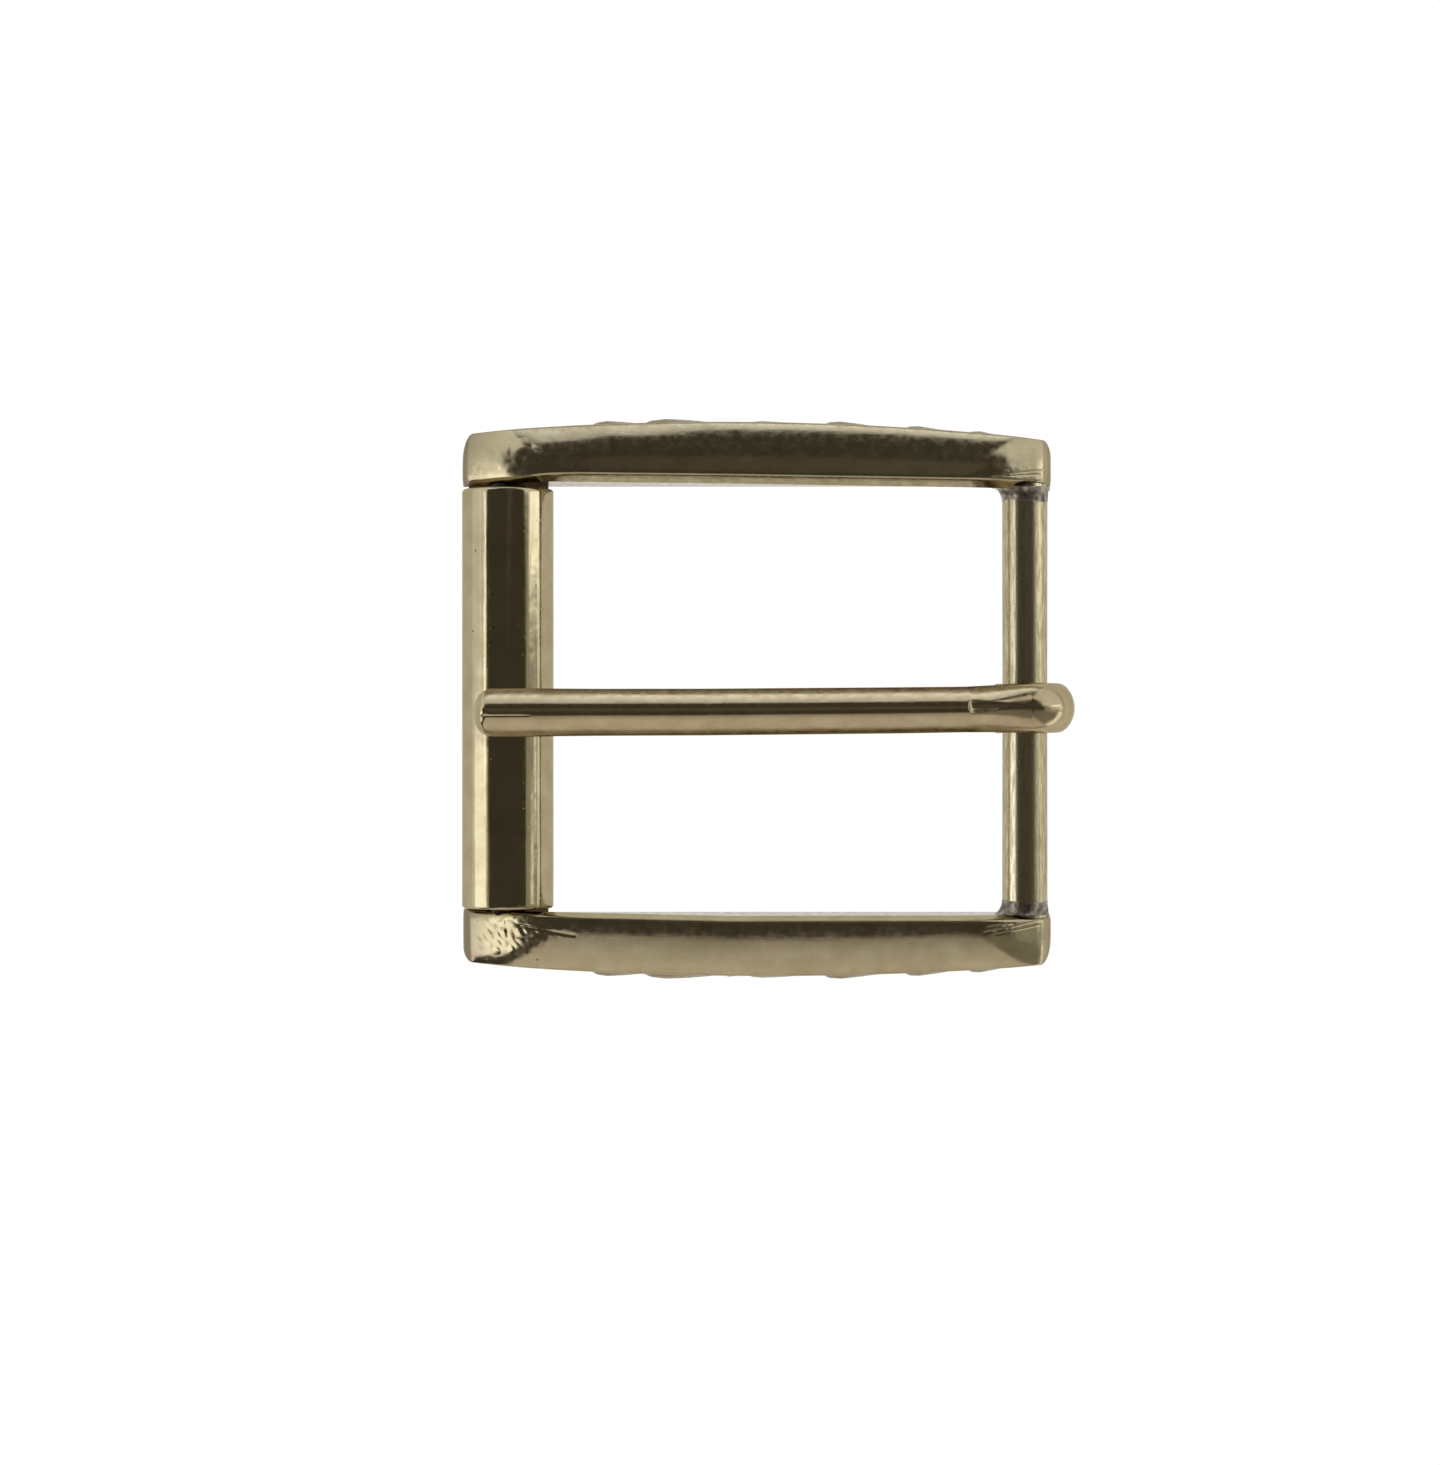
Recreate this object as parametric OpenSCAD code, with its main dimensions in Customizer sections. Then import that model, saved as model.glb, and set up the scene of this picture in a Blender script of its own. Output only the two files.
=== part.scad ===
// Roller buckle: a heel-bar belt buckle in brass, lying on its flat back.
// X runs along the belt, with the roller at the left. Y runs across the belt. Z is up, out of the front face.
// The origin is under the middle of the whole buckle, on the plane of the rails' backs.

/* [Belt] */
// Clear width between the two side rails, for the belt
belt_w = 40; // [24:1:60]
// From the roller's axis to the heel bar's axis
bar_spacing = 48; // [34:1:70]

/* [Side rails] */
// Rail width at mid length, across the belt
rail_mid_w = 5.5; // [4.8:0.1:9]
// Height of the rail at its crown
rail_h = 8.2; // [7.4:0.1:11]
// Radius of the rail's long outer edge, seen from above
outer_edge_r = 265; // [180:5:600]
// Rail length past the roller's axis
front_overhang = 4.1; // [3:0.1:7]
// Rail length past the heel bar's axis
heel_overhang = 2.3; // [2.2:0.1:5]
// Radius of the domed top face
dome_r = 6.7; // [5:0.1:9]
// Radius of the shoulder between the top face and the outer wall
shoulder_r = 1.2; // [0.8:0.05:3]
// Tilt at which the dome turns into the shoulder, in degrees
shoulder_tilt = 42; // [25:1:45]
// Radius of the roll-off at both ends of a rail, seen from the side
end_roll_r = 14; // [10:0.5:20]
// Steepest tilt of that roll-off, in degrees
end_roll_tilt = 38; // [28:1:45]
// Radius of the small round at the very end of a rail, seen from the side
end_round_r = 1.6; // [0.8:0.1:2.4]
// Radius of the outer corners, seen from above
corner_r = 1.2; // [0.5:0.1:1.8]
// Bevel along the inner top edge
inner_bevel = 0.6; // [0.2:0.05:1]
// Bevel along the bottom outer edge
back_bevel = 0.4; // [0.2:0.05:0.8]

/* [Leaf relief] */
// How far the boldest leaf stands proud of the outer wall
leaf_rise = 0.65; // [0.2:0.05:0.8]
// Leaf width, up the wall
leaf_w = 4; // [2.4:0.1:4.2]
// Widest that a short leaf gets, as a share of its own length
leaf_slimness = 0.8; // [0.5:0.05:0.9]
// Height of the leaves' middle above the back
leaf_mid_z = 2.9; // [2.2:0.1:3.2]
// Rise of the stem that runs behind the leaves
stem_rise = 0.12; // [0.05:0.01:0.2]
// Width of that stem
stem_w = 0.7; // [0.4:0.1:1.2]

/* [Heel bar] */
// Heel bar diameter
heel_bar_d = 4.2; // [3:0.1:5]
// Height of the heel bar's axis above the back
heel_bar_z = 4.2; // [4.1:0.1:5]
// How far a solder collar spreads round the bar
solder_w = 1.0; // [0.4:0.1:1.4]

/* [Roller] */
// Roller outer diameter
roller_d = 8.5; // [7:0.1:10]
// Height of the roller's axis above the back
roller_z = 4.45; // [4.3:0.05:5.2]
// Gap between each end of the roller and its rail
roller_end_gap = 0.6; // [0.3:0.05:1]
// Chamfer at the roller's ends
roller_chamfer = 0.25; // [0.1:0.05:0.5]
// Axle diameter
axle_d = 3.6; // [2.4:0.1:3.8]
// Depth of the blind hole that holds each axle end
axle_seat = 2.4; // [1.5:0.1:3]

/* [Prong] */
// Prong width at mid length
prong_w = 4.25; // [3:0.05:5]
// Prong width over the roller
prong_tip_w = 4.4; // [3:0.05:5.2]
// Prong width at the loop
prong_loop_w = 4.6; // [3:0.05:5.4]
// Prong thickness at the ridge of the shank
prong_t = 3.7; // [3.2:0.1:5]
// Height of the shank's flat underside above the heel bar's axis
prong_under_h = 1.9; // [1.6:0.05:2.2]
// How far the tip reaches past the roller's axis
tip_reach = 3.05; // [1.5:0.05:4]
// Length of the rounded tip
tip_round = 1.45; // [1:0.05:2]
// Metal outside the loop's bore, at the back end
loop_wall = 2.37; // [1.8:0.01:2.6]
// Metal below the loop's bore, where the end is beaten thinner
loop_tail_wall = 1.8; // [1.4:0.05:1.85]
// Corner radius of the loop's back end, seen from above
loop_corner_r = 1.7; // [0.5:0.1:2]
// From the heel bar's axis to where the shank's top begins to fall towards the loop
neck_from_bar = 5.8; // [4.8:0.1:9]
// Fall of the top from there to the loop
neck_drop = 1.0; // [0.4:0.1:1.2]
// Radius of the round file groove along the head's ridge
groove_r = 2.05; // [1.5:0.05:3]
// Depth of that groove below the shank's top
groove_depth = 0.55; // [0.2:0.05:0.7]
// How far the groove lies to the side of the prong's middle
groove_side = 0.65; // [0:0.05:0.8]
// From the heel bar's axis to where the groove starts to run out
groove_from_bar = 5.3; // [4.5:0.1:6]
// Length over which the groove runs out into the shank
groove_run_out = 0.95; // [0.4:0.05:2]
// Place of the loop along the heel bar, from its middle
prong_y = -0.8; // [-8:0.1:8]
// Skew of the shank seen from above, in degrees
prong_skew = 0.55; // [0:0.05:1]

/* [Fits] */
// Radial clearance of the prong's loop on the heel bar
loop_clearance = 0.08; // [0.05:0.01:0.1]
// Radial clearance of the roller on its axle
roller_clearance = 0.08; // [0.05:0.01:0.1]
// Radial clearance of the axle in its blind holes
seat_clearance = 0.03; // [0.02:0.01:0.1]
// Gap between the resting prong and the roller
rest_gap = 0.03; // [0.02:0.01:0.1]

/* [Hidden] */
$fn = 96;
// Facets of the long outer arc's full circle, which only its drawn preview uses
long_arc_fn = 256;
// Overlap that joins shapes of one solid, and overshoot of a cut past a surface
join = 0.5;
overshoot = 1;

// Steps of a drawn arc, in degrees
arc_step = 6;
function arc(centre, r, from, to) =
    let (steps = ceil(abs(to - from) / arc_step))
    [for (i = [0:steps]) let (a = from + (to - from) * i / steps) centre + r * [cos(a), sin(a)]];

// Places along X: the whole buckle reaches from the roller's front to the loop's back, and the origin is midway
roller_r = roller_d / 2;
heel_bar_r = heel_bar_d / 2;
bore_r = heel_bar_r + loop_clearance;
loop_back = bore_r + loop_wall;
front_reach = max(roller_r, front_overhang);
roller_x = (front_reach - bar_spacing - loop_back) / 2;
heel_bar_x = roller_x + bar_spacing;
rail_x0 = roller_x - front_overhang;
rail_x1 = heel_bar_x + heel_overhang;
rail_len = rail_x1 - rail_x0;
rail_mid_x = (rail_x0 + rail_x1) / 2;
inner_y = belt_w / 2;
outer_y = inner_y + rail_mid_w;

// Y of the rail's outer edge at a place along X
function outer_edge_y(x) = outer_y - outer_edge_r + sqrt(pow(outer_edge_r, 2) - pow(x - rail_mid_x, 2));

// A rail's cross-section: the dome ends at the shoulder, the shoulder ends in the outer wall
dome_drop = dome_r * (1 - cos(shoulder_tilt));
shoulder_x = outer_edge_r - shoulder_r;
dome_x = shoulder_x - (dome_r - shoulder_r) * sin(shoulder_tilt);
shoulder_z = rail_h - dome_drop - shoulder_r * cos(shoulder_tilt);

// A rail's side view: the roll-off starts where the crown ends, and meets the small round at the end
end_flat_from = end_round_r * (1 - sin(end_roll_tilt)) + end_roll_r * sin(end_roll_tilt);
end_round_z = rail_h - end_roll_r * (1 - cos(end_roll_tilt)) - end_round_r * cos(end_roll_tilt);

// Leaves along the outer wall. Start and length are shares of the rail's length, rise is a share of leaf_rise
leaf_start = 0;
leaf_length = 1;
leaf_share = 2;
LEAVES = [
    // start, length, rise
    [0.220, 0.095, 0.87],
    [0.308, 0.130, 1.00],
    [0.446, 0.035, 0.58],
    [0.485, 0.095, 0.65],
    [0.617, 0.105, 0.86],
    [0.756, 0.092, 0.77],
    [0.864, 0.070, 0.70],
];

// The prong turns round the heel bar until its underside rests on the roller
under_gap = roller_r + rest_gap - prong_under_h;
axis_rise = roller_z - heel_bar_z;
rest_angle = asin(under_gap / norm([bar_spacing, axis_rise])) + atan(axis_rise / bar_spacing);
tip_x = bar_spacing + tip_reach;
prong_top = prong_under_h + prong_t;
head_top = prong_top - neck_drop;
neck_end = neck_from_bar + heel_bar_r;

// The loop is a disc that reaches the head's top, the metal below the bore and the metal behind it
loop_bottom = -bore_r - loop_tail_wall;
loop_r = (head_top - loop_bottom) / 2;
loop_centre = [loop_r - loop_back, loop_bottom + loop_r];

module rail_section() {
    wall_x = outer_edge_r - rail_mid_w - overshoot;
    polygon(concat(
        [[wall_x, 0], [outer_edge_r - back_bevel, 0], [outer_edge_r, back_bevel]],
        arc([shoulder_x, shoulder_z], shoulder_r, 0, 90 - shoulder_tilt),
        arc([dome_x, rail_h - dome_r], dome_r, 90 - shoulder_tilt, 90),
        [[wall_x, rail_h]]
    ));
}

// Side view of a rail, with both ends rolled off
module rail_side_view() {
    x0 = rail_x0;
    x1 = rail_x1;
    polygon(concat(
        [[x0, 0], [x1, 0]],
        arc([x1 - end_round_r, end_round_z], end_round_r, 0, 90 - end_roll_tilt),
        arc([x1 - end_flat_from, rail_h - end_roll_r], end_roll_r, 90 - end_roll_tilt, 90),
        arc([x0 + end_flat_from, rail_h - end_roll_r], end_roll_r, 90, 90 + end_roll_tilt),
        arc([x0 + end_round_r, end_round_z], end_round_r, 90 + end_roll_tilt, 180)
    ));
}

// The side view as a slab between two planes across the belt
module side_slab(y0, y1) {
    translate([0, y1, 0]) rotate([90, 0, 0]) linear_extrude(y1 - y0) rail_side_view();
}

// Turns what is drawn on the +X side of the long arc's centre to the middle of the +Y rail
module on_outer_arc(angle) {
    translate([rail_mid_x, outer_y - outer_edge_r, 0]) rotate([0, 0, 90 + angle]) children();
}

module corner_cut(x, y, toward_x) {
    translate([x, y, -overshoot]) difference() {
        translate([toward_x > 0 ? 0 : -corner_r - overshoot, 0, 0])
            cube([corner_r + overshoot, corner_r + overshoot, rail_h + 2 * overshoot]);
        cylinder(r = corner_r, h = rail_h + 2 * overshoot);
    }
}

module rail_blank() {
    half_angle = asin(rail_len / 2 / outer_edge_r) + 1;
    intersection() {
        on_outer_arc(-half_angle) rotate_extrude(angle = 2 * half_angle, $fn = long_arc_fn) rail_section();
        side_slab(inner_y, outer_y + overshoot);
    }
}

module inner_bevel_cut() {
    side = inner_bevel * sqrt(2);
    translate([rail_x0 - overshoot, inner_y, rail_h]) rotate([45, 0, 0])
        translate([0, -side / 2, -side / 2]) cube([rail_len + 2 * overshoot, side, side]);
}

// One pointed leaf, proud at its tip and sunk into the wall at its other end
module leaf(row) {
    from_x = rail_x0 + row[leaf_start] * rail_len;
    length = row[leaf_length] * rail_len;
    rise = row[leaf_share] * leaf_rise;
    width = min(leaf_w, length * leaf_slimness);
    lens_r = (pow(length, 2) + pow(width, 2)) / (4 * width);
    root_angle = -asin((from_x + length - rail_mid_x) / outer_edge_r);
    tilt = atan(rise / length);
    depth = rise + join;
    on_outer_arc(root_angle) translate([outer_edge_r, 0, leaf_mid_z]) rotate([0, 0, -tilt])
        rotate([0, 90, 0]) translate([0, length / 2, -depth]) linear_extrude(depth) intersection() {
            translate([lens_r - width / 2, 0]) circle(r = lens_r);
            translate([width / 2 - lens_r, 0]) circle(r = lens_r);
        }
}

module stem() {
    first = LEAVES[0];
    last = LEAVES[len(LEAVES) - 1];
    from_x = rail_x0 + (first[leaf_start] + first[leaf_length] / 2) * rail_len;
    to_x = rail_x0 + (last[leaf_start] + last[leaf_length] / 2) * rail_len;
    from_angle = -asin((to_x - rail_mid_x) / outer_edge_r);
    to_angle = -asin((from_x - rail_mid_x) / outer_edge_r);
    on_outer_arc(from_angle) rotate_extrude(angle = to_angle - from_angle, $fn = long_arc_fn)
        translate([outer_edge_r - join, leaf_mid_z - stem_w / 2]) square([join + stem_rise, stem_w]);
}

// The rail at the +Y side, with its leaves and the blind hole for the axle
module rail() {
    difference() {
        union() {
            rail_blank();
            for (row = LEAVES) leaf(row);
            stem();
        }
        inner_bevel_cut();
        corner_cut(rail_x0 + corner_r, outer_edge_y(rail_x0 + corner_r) - corner_r, -1);
        corner_cut(rail_x1 - corner_r, outer_edge_y(rail_x1 - corner_r) - corner_r, 1);
        translate([roller_x, inner_y + axle_seat, roller_z]) rotate([90, 0, 0])
            cylinder(r = axle_d / 2 + seat_clearance, h = axle_seat + overshoot);
    }
}

// Solder runs out round the bar's end in a hollow curve, and stays inside the rail's side view
module solder_collar() {
    inside_r = heel_bar_r - join;
    intersection() {
        translate([heel_bar_x, inner_y, heel_bar_z]) rotate([90, 0, 0]) rotate_extrude() polygon(concat(
            [[inside_r, solder_w], [inside_r, -join], [heel_bar_r + solder_w, -join]],
            arc([heel_bar_r + solder_w, solder_w], solder_w, 270, 180)
        ));
        side_slab(inner_y - solder_w - overshoot, inner_y + overshoot);
    }
}

module frame() {
    color("darkkhaki") {
        for (side = [0, 1]) mirror([0, side, 0]) {
            rail();
            solder_collar();
        }
        translate([heel_bar_x, inner_y + join, heel_bar_z]) rotate([90, 0, 0])
            cylinder(r = heel_bar_r, h = belt_w + 2 * join);
    }
}

module roller_axle() {
    half = inner_y + axle_seat - seat_clearance;
    color("slategray") translate([roller_x, half, roller_z]) rotate([90, 0, 0])
        cylinder(r = axle_d / 2, h = 2 * half);
}

module roller() {
    half = inner_y - roller_end_gap;
    bore = axle_d / 2 + roller_clearance;
    color("khaki") translate([roller_x, 0, roller_z]) rotate([90, 0, 0]) rotate_extrude() polygon([
        [bore, -half],
        [roller_r - roller_chamfer, -half],
        [roller_r, -half + roller_chamfer],
        [roller_r, half - roller_chamfer],
        [roller_r - roller_chamfer, half],
        [bore, half],
    ]);
}

// The shank's section: a flat underside, and sides that rise in half an ellipse to a rounded ridge
module shank_section(width, height) {
    polygon([for (a = [0:arc_step * 2:180]) [height * sin(a), width / 2 * cos(a)]]);
}

// The shank seen from above, from the loop to the tip. X runs from the heel bar's axis towards the tip
module shank_plan() {
    tip_start = tip_x - tip_round;
    half_tip = prong_tip_w / 2;
    round_tip = [for (a = [90:-arc_step * 2:-90]) [tip_start + tip_round * cos(a), half_tip * sin(a)]];
    polygon(concat(
        [[0, -prong_loop_w / 2], [0, prong_loop_w / 2]],
        [[neck_from_bar, prong_w / 2], [bar_spacing - roller_r, prong_w / 2]],
        round_tip,
        [[bar_spacing - roller_r, -prong_w / 2], [neck_from_bar, -prong_w / 2]]
    ));
}

// The shank from the side, with the fall to the loop and the nose of the tip
module shank_side_view() {
    nose = [for (a = [90:-arc_step * 2:0])
        [tip_x - tip_round + tip_round * cos(a), prong_under_h + prong_t * sin(a)]];
    polygon(concat(
        [[0, bore_r - join], [0, head_top], [neck_from_bar, prong_top]],
        nose,
        [[neck_end, prong_under_h]]
    ));
}

module shank() {
    reach = tip_x + overshoot;
    height = prong_top + overshoot;
    intersection() {
        translate([0, 0, prong_under_h - join]) rotate([0, 90, 0]) mirror([1, 0, 0])
            linear_extrude(reach) union() {
                translate([join, 0]) shank_section(prong_loop_w, prong_t);
                translate([0, -prong_loop_w / 2]) square([join + join / 2, prong_loop_w]);
            }
        linear_extrude(height) shank_plan();
        rotate([90, 0, 0]) translate([0, 0, -prong_loop_w]) linear_extrude(2 * prong_loop_w) shank_side_view();
    }
}

// The loop seen from above, with its back corners rounded
module loop_plan() {
    half_w = prong_loop_w / 2;
    corner_x = -loop_back + loop_corner_r;
    corner_y = half_w - loop_corner_r;
    polygon(concat(
        arc([corner_x, corner_y], loop_corner_r, 90, 180),
        arc([corner_x, -corner_y], loop_corner_r, 180, 270),
        [[neck_from_bar, -half_w], [neck_from_bar, half_w]]
    ));
}

// The loop is thicker behind the bore than below it, and a web joins it to the shank
module loop() {
    half_w = prong_loop_w / 2;
    intersection() {
        rotate([90, 0, 0]) translate([0, 0, -half_w]) linear_extrude(prong_loop_w) union() {
            translate(loop_centre) circle(r = loop_r);
            polygon([[loop_centre[0], head_top], loop_centre, [neck_from_bar, prong_under_h + join]]);
        }
        translate([0, 0, loop_bottom - overshoot]) linear_extrude(2 * loop_r + 2 * overshoot) loop_plan();
    }
}

// The file groove runs level along the head's ridge, and its end slopes up into the shank
module head_groove() {
    translate([0, -groove_side, prong_top - groove_depth + groove_r]) rotate([0, 90, 0]) {
        cylinder(r = groove_r, h = groove_from_bar);
        translate([0, 0, groove_from_bar])
            cylinder(r1 = groove_r, r2 = groove_r - groove_depth, h = groove_run_out);
    }
}

module prong() {
    color("palegoldenrod")
    translate([heel_bar_x, prong_y, heel_bar_z]) rotate([0, 0, 180]) difference() {
        rotate([0, -rest_angle, 0]) difference() {
            union() {
                rotate([0, 0, prong_skew]) shank();
                loop();
            }
            head_groove();
        }
        rotate([90, 0, 0]) translate([0, 0, -prong_loop_w])
            cylinder(r = bore_r, h = 2 * prong_loop_w);
    }
}

frame();
roller_axle();
roller();
prong();
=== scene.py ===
# %% [markdown]
# A heel-bar roller buckle in cast brass, dressed for a product photograph. The solids come from the
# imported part. Here they get surfaces fine enough to mirror a studio cleanly, because on polished metal
# the eye reads nothing but reflections, and a facet or a wrong tilt shows at once. Lengths of the
# shapes are in millimetres, and a mesh is turned to metres when it is made. The finishes are in metres,
# as Blender takes them.

import bpy
import numpy as np
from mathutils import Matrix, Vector


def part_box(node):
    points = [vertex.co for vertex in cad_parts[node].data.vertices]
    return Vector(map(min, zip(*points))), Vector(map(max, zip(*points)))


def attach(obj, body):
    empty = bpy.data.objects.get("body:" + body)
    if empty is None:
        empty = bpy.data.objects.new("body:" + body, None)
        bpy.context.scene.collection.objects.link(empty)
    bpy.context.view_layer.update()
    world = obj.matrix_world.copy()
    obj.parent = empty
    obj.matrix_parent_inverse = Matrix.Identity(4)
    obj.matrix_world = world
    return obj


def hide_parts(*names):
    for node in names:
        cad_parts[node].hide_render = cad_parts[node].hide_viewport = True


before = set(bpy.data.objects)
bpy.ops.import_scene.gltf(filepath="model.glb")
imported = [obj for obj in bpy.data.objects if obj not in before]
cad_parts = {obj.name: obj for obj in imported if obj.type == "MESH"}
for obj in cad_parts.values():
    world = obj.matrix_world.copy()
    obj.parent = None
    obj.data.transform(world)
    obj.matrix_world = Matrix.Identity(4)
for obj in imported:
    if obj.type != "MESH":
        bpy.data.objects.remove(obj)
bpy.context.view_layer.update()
MM = 0.001
for node_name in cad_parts:
    low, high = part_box(node_name)
    print(node_name, "from", [round(v / MM, 2) for v in low], "to", [round(v / MM, 2) for v in high])

# %% [markdown]
# The camera looks straight down on the buckle, as in the photograph. It stands a little below and to
# the left of the buckle's middle, about a third of a metre up, so it sees more of the upper rail's
# inner wall than of the lower one's. The place and the lens were worked out from how far the high edges
# shift against the low ones.

# %% Camera
EYE = Vector((-4.46, -3.13, 320.0)) * MM
LENS_FOR_36_MM_SENSOR = 83.55
NEAREST_SEEN = 0.01

camera_data = bpy.data.cameras.new("camera")
camera_data.lens = LENS_FOR_36_MM_SENSOR
camera_data.clip_start = NEAREST_SEEN
camera = bpy.data.objects.new("camera", camera_data)
camera.location = EYE
bpy.context.scene.collection.objects.link(camera)
bpy.context.scene.camera = camera
bpy.context.scene.view_settings.view_transform = "Standard"
print("camera at", [round(v, 4) for v in EYE], "lens", camera_data.lens)

# %% [markdown]
# Every piece here is a skin over rings: a closed profile that is carried along a line, ring after ring.
# numpy works out all the points at once, and one helper turns the grid of points into a mesh. It closes
# both ends with a fan round a pole, or joins the last ring to the first, and turns the faces outwards
# by the sign of the volume that they enclose.

# %% Rings to a mesh
def signed_volume(points, triangles):
    """A sixth of the sum, over all triangles, of the box product of the three corners."""
    a, b, c = (points[triangles[:, k]] for k in range(3))
    return float(np.einsum("ij,ij->", a, np.cross(b, c)) / 6)


def link_mesh(name, points, faces):
    """A smooth-shaded object from points in millimetres and lists of corners."""
    mesh = bpy.data.meshes.new(name)
    mesh.from_pydata((points * MM).tolist(), [], faces)
    mesh.polygons.foreach_set("use_smooth", np.ones(len(mesh.polygons), bool))
    mesh.update()
    piece = bpy.data.objects.new(name, mesh)
    bpy.context.scene.collection.objects.link(piece)
    return piece


def skin(name, rings, closes_on_itself=False):
    """A closed mesh from an array of rings, each a closed loop of as many points. Quad (i, j) joins
    points j and j + 1 of ring i with the same points of ring i + 1."""
    count, around, _ = rings.shape
    index = np.arange(count * around).reshape(count, around)
    following = np.roll(index, -1, axis=1)
    if closes_on_itself:
        points = rings.reshape(-1, 3)
        index = np.concatenate([index, index[:1]])
        following = np.concatenate([following, following[:1]])
        fans = np.zeros((0, 3), int)
    else:
        points = np.concatenate([rings.reshape(-1, 3), rings[:1].mean(1), rings[-1:].mean(1)])
        pole = np.full(around, count * around)
        fans = np.concatenate([
            np.stack([following[0], index[0], pole], axis=-1),
            np.stack([index[-1], following[-1], pole + 1], axis=-1),
        ])
    quads = np.stack([index[:-1], following[:-1], following[1:], index[1:]], axis=-1).reshape(-1, 4)
    halves = np.concatenate([quads[:, [0, 1, 2]], quads[:, [0, 2, 3]], fans])
    if signed_volume(points, halves) < 0:
        quads = quads[:, ::-1]
        fans = fans[:, ::-1]
    print(name, "has", len(halves), "triangles")
    return link_mesh(name, points, quads.tolist() + fans.tolist())


# %% [markdown]
# A smooth step has no corner where it starts and ends, so it leaves no line in a reflection.
# Hand-polished metal is never quite true: a few waves of different length and direction, summed, give a
# gentle unevenness, and the same seed gives the same waves each time.

# %% Steps, waves and masks
def smooth_step(value, start, end):
    """0 before start and 1 after end. In between it is three times the square less twice the cube of
    the share passed."""
    share = np.clip((value - start) / (end - start), 0, 1)
    return share * share * (3 - 2 * share)


def plateau(value, rise, fall):
    """0, then up to 1 over the first range, and down to 0 again over the second."""
    return smooth_step(value, *rise) * (1 - smooth_step(value, *fall))


def soft_above(value, width):
    """The value where it is above zero and 0 below, with the corner rounded: half the sum of the value
    and the root of its square plus the width's."""
    return 0.5 * (value + np.sqrt(value ** 2 + width ** 2))


def soft_least(a, b, width):
    """The smaller of two values, with the corner between them rounded over that width."""
    return 0.5 * (a + b - np.sqrt((a - b) ** 2 + width ** 2))


def waves(x, y, seed, shortest, longest, count=24):
    """A sum of sines in random directions, with lengths from shortest to longest. Divided by the root
    of their number, it has a height of about 1."""
    chance = np.random.default_rng(seed)
    length = np.exp(chance.uniform(np.log(shortest), np.log(longest), count))
    heading = chance.uniform(0, 2 * np.pi, count)
    phase = chance.uniform(0, 2 * np.pi, count)
    total = np.zeros(np.broadcast(x, y).shape)
    for size, angle, offset in zip(length, heading, phase):
        total = total + np.sin(2 * np.pi * (x * np.cos(angle) + y * np.sin(angle)) / size + offset)
    return total / np.sqrt(count)


def patch(x, y, centre_x, centre_y, reach_x, reach_y):
    """A soft round mask: e to minus the squared distance from the centre, measured in reaches."""
    return np.exp(-((x - centre_x) / reach_x) ** 2 - ((y - centre_y) / reach_y) ** 2)


def stroke(x, y, start_x, start_y, end_x, end_y, width):
    """A soft line mask: e to minus the squared distance from the straight line between two points."""
    along_x = end_x - start_x
    along_y = end_y - start_y
    share = ((x - start_x) * along_x + (y - start_y) * along_y) / (along_x ** 2 + along_y ** 2)
    share = np.clip(share, 0, 1)
    away = (x - start_x - share * along_x) ** 2 + (y - start_y - share * along_y) ** 2
    return np.exp(-away / width ** 2)


# %% [markdown]
# The side rails are cast bars with a domed top that falls away to the outer wall, and a bevel along the
# inner edge. A bevelled box would give a hard line where the end slopes meet the dome. Here the two
# falls are combined as the root of the sum of their squares, so the top rolls off smoothly in every
# direction, as file and mop leave it.

# %% Sizes of a rail
RAIL_HEIGHT = 8.2
RAIL_LEFT = -28.42
RAIL_RIGHT = 26.3
RAIL_LENGTH = RAIL_RIGHT - RAIL_LEFT
BELT_HALF = 20.0
CROWN_TILT = np.radians(32)
FLANK_TILT = np.radians(39.5)
EDGE_R = 0.42
END_ROLL_R = 14.0
BACK_BEVEL = 0.4

# The two rails differ a little, as hand-finished ones do. Each has its outer arc (place of the middle,
# radius and reach in Y), the inner edge's places and the outer flank's widths from left to right, and
# the bevel's width at the left and beyond it and its tilt. Then come the left and right end: the
# steepest tilt, how far that slope reaches, the radius that rounds it off, and the corner's sizes along
# X and Y.
RAILS = {
    "rail_plus_y": dict(
        side=1, arc=(-4.5, 275.0, 25.55), inner=(19.66, 19.97, 19.78, 19.3),
        flank=(1.5, 1.16, 1.16, 0.78, 0.68), bevel=(0.45, 0.75, 54),
        tilts=(27, 24), slopes=(3.6, 3.0), rounds=(1.9, 2.8),
        corner_left=(1.1, 2.8), corner_right=(0.9, 1.9), seed=11),
    "rail_minus_y": dict(
        side=-1, arc=(-0.1, 330.0, 25.62), inner=(19.5, 19.62, 20.0, 19.93),
        flank=(1.0, 1.0, 1.0, 1.0, 1.0), bevel=(0.14, 0.42, 68),
        tilts=(27, 24), slopes=(4.5, 3.1), rounds=(2.5, 2.8),
        corner_left=(1.0, 1.6), corner_right=(1.1, 2.8), seed=23),
}

# Where along the rail those places and widths hold, as shares of its length. The softness of the
# bevel's edge and the corner at the inner edge's ends are the same on both rails.
INNER_PLACES = (0, 0.14, 0.45, 1)
FLANK_PLACES = (0.17, 0.24, 0.33, 0.43, 1)
BEVEL_PLACES = (0.08, 0.2)
BEVEL_ROUND_PLACES = (0.05, 0.2)
BEVEL_ROUNDS = (0.26, 0.10)
INNER_CORNER = (0.3, 0.3)


# %% Forms of a rail
def arc_fall(radius, reach):
    """How far an arc of that radius has fallen at a distance from its level point."""
    return radius - np.sqrt(np.clip(radius ** 2 - reach ** 2, 0, None))


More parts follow.
